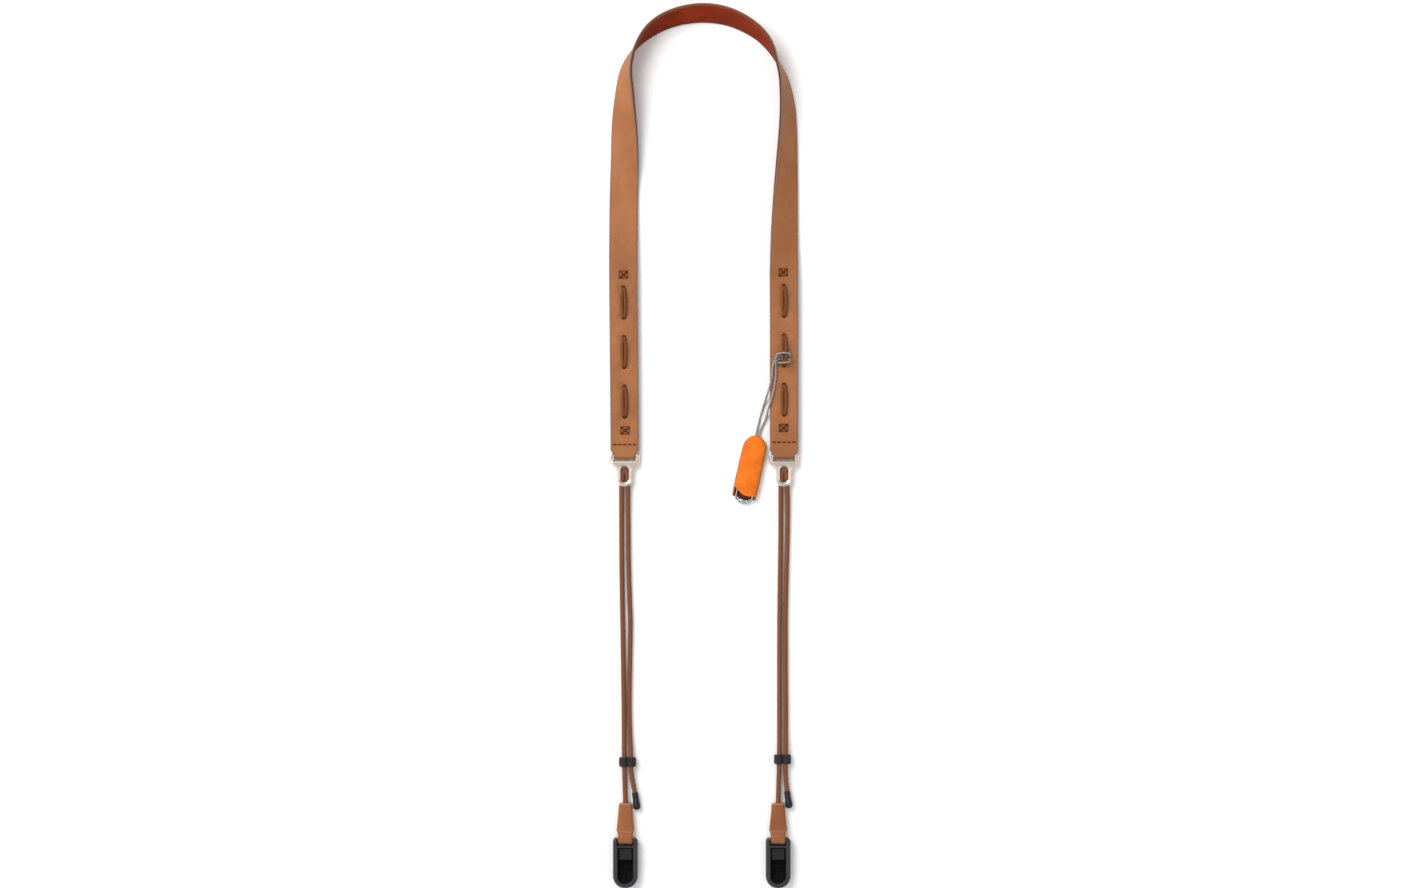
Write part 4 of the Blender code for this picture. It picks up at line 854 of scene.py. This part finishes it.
# A strip with soft rounded edges along the stations. offset moves it outwards from their middle.
def stripMesh(name, rows, thickness, offset, relief=None):
    half = thickness / 2
    flat = np.concatenate([np.linspace(0.0, 0.10, 5), np.linspace(0.14, 0.86, 17), np.linspace(0.90, 1.0, 5)])
    along = np.cumsum([0.0] + [(after[0] - before[0]).length for before, after in zip(rows, rows[1:])])
    rings, wear = [], []
    for centre, across, outward, halfWidth in rows:
        inner = halfWidth - half
        ring, worn = [], []
        for way, shares in ((1, flat), (-1, flat[::-1])):
            for share in shares:
                u = -inner + 2 * inner * share
                ring.append((u, way * half))
                rubbed = max(0.0, 1 - (halfWidth - abs(u)) / bandLook["worn"]) * 0.9
                worn.append(rubbed if way > 0 else 0.5 * (share in (0, 1)))
            for turn in np.radians((60, 30, 0, -30, -60)):
                ring.append((way * (inner + half * math.cos(turn)), way * half * math.sin(turn)))
                worn.append(1.0)
        places = [centre + across * u + outward * (v + offset) for u, v in ring]
        if relief:
            places = [place + outward * relief(place) if v > 0 else place for place, (_, v) in zip(places, ring)]
        rings.append(places)
        wear.append(worn)
    return meshFromRings(name, rings, list(along), values={"edge": wear})


def holeRows(side):
    top, run, pitch = laceLook["tops"][side], laceLook["run"], laceLook["pitchY"]
    return [y for turn in range(3) for y in (top - turn * pitch, top - turn * pitch - run)]


holePlaces = [(legX(y, side), y) for side in (-1, 1) for y in holeRows(side)]


# The leather is drawn down a little at each lacing hole and swells beside it.
def pulled(point):
    depth = 0.0
    for x, y in holePlaces:
        distance = math.hypot((point.x - x) / 1.25, point.y - y)
        if distance < 0.008:
            depth -= 0.00050 * math.exp(-((distance / 0.0027) ** 2))
            depth += 0.00020 * math.exp(-(((distance - 0.0048) / 0.0014) ** 2))
    return depth


def makeHoles(name):
    bm = bmesh.new()
    for x, y in holePlaces:
        place = Matrix.Translation((x, y, leatherTop - bandThickness / 2))
        bmesh.ops.create_cone(bm, cap_ends=True, segments=28, radius1=1, radius2=1, depth=0.008,
                              matrix=place @ Matrix.Diagonal((laceLook["hole"], laceLook["hole"], 1, 1)))
    mesh = bpy.data.meshes.new(name)
    bm.to_mesh(mesh)
    bm.free()
    return placed(name, mesh)


def makeBand():
    b, holes = bandLook, makeHoles("holes")
    # the band's own rows are moved to the leather's middle, as the folded ends already are
    offset = (bandThickness - b["leather"]) / 2
    rows = [(centre + outward * offset, across, outward, half) for centre, across, outward, half in stations]
    rows = foldStations(stations[0])[::-1] + rows + foldStations(stations[-1])
    leather = fused(stripMesh("neckBand", rows, b["leather"], 0.0, pulled), cut=[holes], keep=True)
    dress(leather, looks["tan"], ["strap_leather"])
    inner = [row for row in stations if row[0].y > b["liningStart"]]
    first, last = ((Vector((row[0].x, b["liningStart"], row[0].z)), *row[1:]) for row in (inner[0], inner[-1]))
    lining = stripMesh("bandLining", [first, *inner, last], b["lining"], (b["lining"] - bandThickness) / 2)
    dress(fused(lining, cut=[holes]), looks["rust"], ["strap_lining"])


def makeLacing(node, side):
    look, floorZ = laceLook, laceLook["diameter"] / 2
    topZ = leatherTop + 0.0003 + look["diameter"] / 2
    spacing = look["diameter"] + 0.0003
    rows = sorted(holeRows(side))
    profile = [(rows[0] - look["tail"], floorZ)]
    for low, high in zip(rows[::2], rows[1::2]):
        run = [(low, topZ), (high, topZ)]
        if side > 0 and low < hitch["y"] < high:  # lifted by the pouch's cord
            run = [(low, topZ + hitch["lift"]), (hitch["y"] + hitch["halfLength"], topZ + hitch["lift"]),
                   (hitch["y"] + 2 * hitch["halfLength"], topZ), (high, topZ)]
        profile += [(low, floorZ), *run, (high, floorZ)]
    profile.append((rows[-1] + look["tail"], floorZ))
    first, second = ([(legX(y, side) + offset, y, z, look["bend"]) for y, z in profile]
                     for offset in (-spacing / 2, spacing / 2))
    second = second[::-1]
    first[-1] = (*first[-1][:3], spacing / 2 * 0.98)
    second[0] = (*second[0][:3], spacing / 2 * 0.98)
    path = evenRows(np.array(roundedPath(first + second, 8)), look["step"], extra=0)
    # each hole draws the two strands together and squeezes them
    drawn = np.exp(-(np.abs(path[:, 1:2] - np.array(rows)).min(axis=1) / look["drawnReach"]) ** 2)
    middle = np.interp(path[:, 1], rows, [legX(y, side) for y in rows])
    path[:, 0] = middle + (path[:, 0] - middle) * (1 - look["drawn"] * drawn)
    radii = look["diameter"] / 2 * (1 - look["thinned"] * drawn)
    obj = tubeMesh(pieceName(node), path, radii, look["sides"], braidRelief(look))
    return dress(obj, looks["lace"], [node])


stitchLook = {"thread": 0.00042, "bar": 0.00020, "halfWidth": 0.0030, "halfHeight": 0.0026, "short": 0.0020,
              "gap": 0.0015, "lifts": (0.0001, 0.0005), "rises": (  # share along, height over the leather
                  (0.0, -0.0007), (0.03, 0.0), (0.12, 0.00034), (0.5, 0.00042), (0.88, 0.00034), (0.97, 0.0),
                  (1.0, -0.0007))}


# The height of the leather's upper face at a place on a leg, where the band may already tilt.
def leatherHeight(x, y, side):
    leg = [station for station in stations if station[0].x * side > 0]
    centre, across, outward, _ = min(leg, key=lambda station: abs(station[0].y - y))
    face = centre + outward * (bandThickness / 2)
    return face.z + across.z * (x - face.x) / across.x


# One stitch: a thread that comes up out of the leather, lies on it and goes back in.
def stitchPath(start, end, side, lift=0.0):
    start, end = np.array(start), np.array(end)
    rows = [(*(start + (end - start) * share), rise + lift) for share, rise in stitchLook["rises"]]
    return smoothRows([(x, y, leatherHeight(x, y, side) + z) for x, y, z in rows], 0.00022)


# Crosses in a thin box, and a row of short stitches at rowY.
def makeStitches(name, side, crosses, rowY, rowX):
    look, paths = stitchLook, []
    for x, y in crosses:
        w, h = look["halfWidth"], look["halfHeight"]
        a, b, c, d = (x - w, y + h), (x + w, y + h), (x + w, y - h), (x - w, y - h)
        paths += [(stitchPath(*ends, side), look["bar"]) for ends in ((a, b), (b, c), (c, d), (d, a))]
        for ends, lift in zip(((a, c), (b, d)), look["lifts"]):
            paths.append((stitchPath(*ends, side, lift), look["thread"]))
    x = rowX[0]
    while x < rowX[1]:
        paths.append((stitchPath((x, rowY), (min(x + look["short"], rowX[1]), rowY), side), look["thread"]))
        x += look["short"] + look["gap"]
    threads = [tubeMesh(name, path, radius, 12) for path, radius in paths]
    with bpy.context.temp_override(active_object=threads[0], selected_editable_objects=threads):
        bpy.ops.object.join()
    return dress(threads[0], looks["thread"])


pouchLook = {
    "apex": (-0.0190, 0.0070), "turn": math.radians(-12.4), "length": 0.0446, "width": 0.0170, "height": 0.0068,
    "wall": 0.0012, "pared": 0.6, "power": 2.4, "pinch": 0.00035, "dimple": 0.00018, "sides": 72, "rings": 60,
    "profile": (  # share along, width share, height share
        (0.00, 0.95, 0.94), (0.10, 0.99, 1.00), (0.35, 1.00, 1.00), (0.65, 0.985, 0.95), (0.80, 0.955, 0.86),
        (0.87, 0.90, 0.80), (0.92, 0.76, 0.72), (0.96, 0.57, 0.67), (0.985, 0.44, 0.62), (1.00, 0.30, 0.54)),
    "mouth": inMetres(  # how far the front layer's edge is cut back, from left to right
        ((-8.5, 7.3), (-5, 5), (-1.8, 2.8), (0.2, 2), (2, 1.9), (8.5, 2.6))),
}
toolLook = {"wire": 0.0011, "loopWidth": 0.0116, "loopLength": 0.0140, "loopBend": 0.0021, "reach": 0.0020,
            "barrel": 0.0039, "barrelLength": 0.0069, "bore": 0.00086}


def pouchFrame():
    apex = Vector((legMiddle["right"] + pouchLook["apex"][0], pouchLook["apex"][1], 0))
    return (Matrix.Translation(apex) @ Matrix.Rotation(pouchLook["turn"], 4, "Z")
            @ Matrix.Translation((0, -pouchLook["length"], 0)))


def makePouch():
    p, half = pouchLook, pouchLook["width"] / 2
    profile = smoothRows(p["profile"], 0.01, axes=1)
    mouth = smoothRows(p["mouth"], 0.0004, axes=2)
    outer, inner, wear = [], [], []
    for share in np.linspace(0, 1, p["rings"]):
        outside, inside, worn = [], [], []
        for angle in ringAngles(p["sides"]):
            across, up = math.cos(angle), math.sin(angle)
            # the front layer's edge runs down from the left side to the middle of the mouth
            cut = np.interp(across * half, mouth[:, 0], mouth[:, 1]) / p["length"] * min(1.0, up / 0.30)
            along = share + (1 - share) * cut if up > 0.02 else share
            width, height = (np.interp(along, profile[:, 0], profile[:, column]) for column in (1, 2))
            middle = height * p["height"] / 2
            x, z = ovalPoint(angle, width * half, middle, p["power"])
            x += math.copysign(p["pinch"] * max(0.0, 1 - abs(z) / 0.0011), across)  # a seam down each side
            dimple = p["dimple"] * math.sin(along * 23 + across * 2.0) * max(0.0, up) ** 2 * (1 - along)
            outside.append((x, along * p["length"], middle + z - dimple))
            wall = p["wall"] * (1 - p["pared"] * clamped((along - 0.86) / 0.12))
            inside.append((x * (1 - wall / max(width * half, 0.002)), along * p["length"],
                           middle + z * (1 - wall / max(middle, 0.0018))))
            edge = clamped((abs(x) - width * half + 0.00055) / 0.0004) * 0.85
            worn.append(max(edge, 0.35 if share == 0 else 0.0))
        outer.append(outside)
        inner.append(inside)
        wear.append(worn)
    none, full = ([[value] * p["sides"]] * p["rings"] for value in (0.0, 1.0))
    body = meshFromRings("pouchSleeve", inner[::-1] + outer, np.linspace(0, 2 * p["length"], 2 * p["rings"]),
                         closed=True, values={"edge": none + wear, "inside": full + none})
    body.data.transform(pouchFrame())
    return dress(body, looks["orange"], ["pouch"])


# The wire loop rises into the pouch from the barrel that turns on its lower side.
def makeTool():
    t, frameHere = toolLook, pouchFrame()
    low, half, z, bore = -t["reach"], t["loopWidth"] / 2, t["barrel"] / 2, t["bore"]
    places = []
    ring = roundedBox((-half, low), (half, low + t["loopLength"]), t["loopBend"], 8)
    for here, after in zip(ring, ring[1:] + ring[:1]):
        for step in range(6):
            spot = here.lerp(after, step / 6)
            climb = clamped((spot.y - low) / t["reach"])
            places.append((spot.x, spot.y, z + climb * (pouchLook["height"] / 2 - z)))
    loop = tubeMesh("toolLoop", places, t["wire"] / 2, 20, closed=True)
    loop.data.transform(frameHere)
    dress(loop, looks["steel"], ["tool_loop"])
    end, r = t["barrelLength"] / 2, t["barrel"] / 2
    rows = [(0.0, bore), (0.0, r * 0.80), (0.0002, r * 0.93), (0.0005, r), (0.0011, r), (0.0013, r * 0.95), (0.0015, r)]
    rows += [(2 * end - along, size) for along, size in rows[::-1]]
    rows += [(along, bore) for along in (2 * end - 0.0001, end, 0.0001)]
    start, finish = (frameHere @ Vector((x, low, z)) for x in (-end, end))
    dress(turnedMesh("toolBarrel", start, finish, rows, 40, closed=True), looks["steel"], ["tool_barrel"])


# Where each side's slider stands, where its end cap starts and ends, and how it is stitched
bySide = {
    "left": {"way": -1, "slider": (0.0020, -0.2234), "cap": ((0.0073, -0.2458), (0.0089, -0.2572)),
             "crosses": ((-0.0569, 0.1216), (-0.0558, 0.0113)), "rowY": 0.0013, "rowX": (-0.0640, -0.0482)},
    "right": {"way": 1, "slider": (-0.0011, -0.2215), "cap": ((0.0022, -0.2448), (0.0038, -0.2562)),
              "crosses": ((0.0561, 0.1231), (0.0563, 0.0131)), "rowY": 0.0030, "rowX": (0.0487, 0.0650)},
}
for side, at in bySide.items():
    slider = makeSlider(f"slider_{side}", legMiddle[side], at["slider"])
    cap = makeCap(f"end_cap_{side}", legMiddle[side], at["cap"])
    makeCord(f"cord_{side}", cordRoutes[side], legMiddle[side], cordLook)
    makeYoke(f"yoke_{side}", legMiddle[side])
    makeTab(f"tab_{side}", tabMiddle[side])
    makeConnector(f"connector_{side}", tabMiddle[side])
    print(side, "side made")
makeCord("pouch_cord", cordRoutes["pouch"], legMiddle["right"], pouchCordLook)
makeBand()
for side, at in bySide.items():
    makeLacing(f"lacing_{side}", at["way"])
for side, at in bySide.items():
    makeStitches(pieceName(f"stitches_{side}"), at["way"], at["crosses"], at["rowY"], at["rowX"])
makePouch()
makeTool()
print("all pieces made")
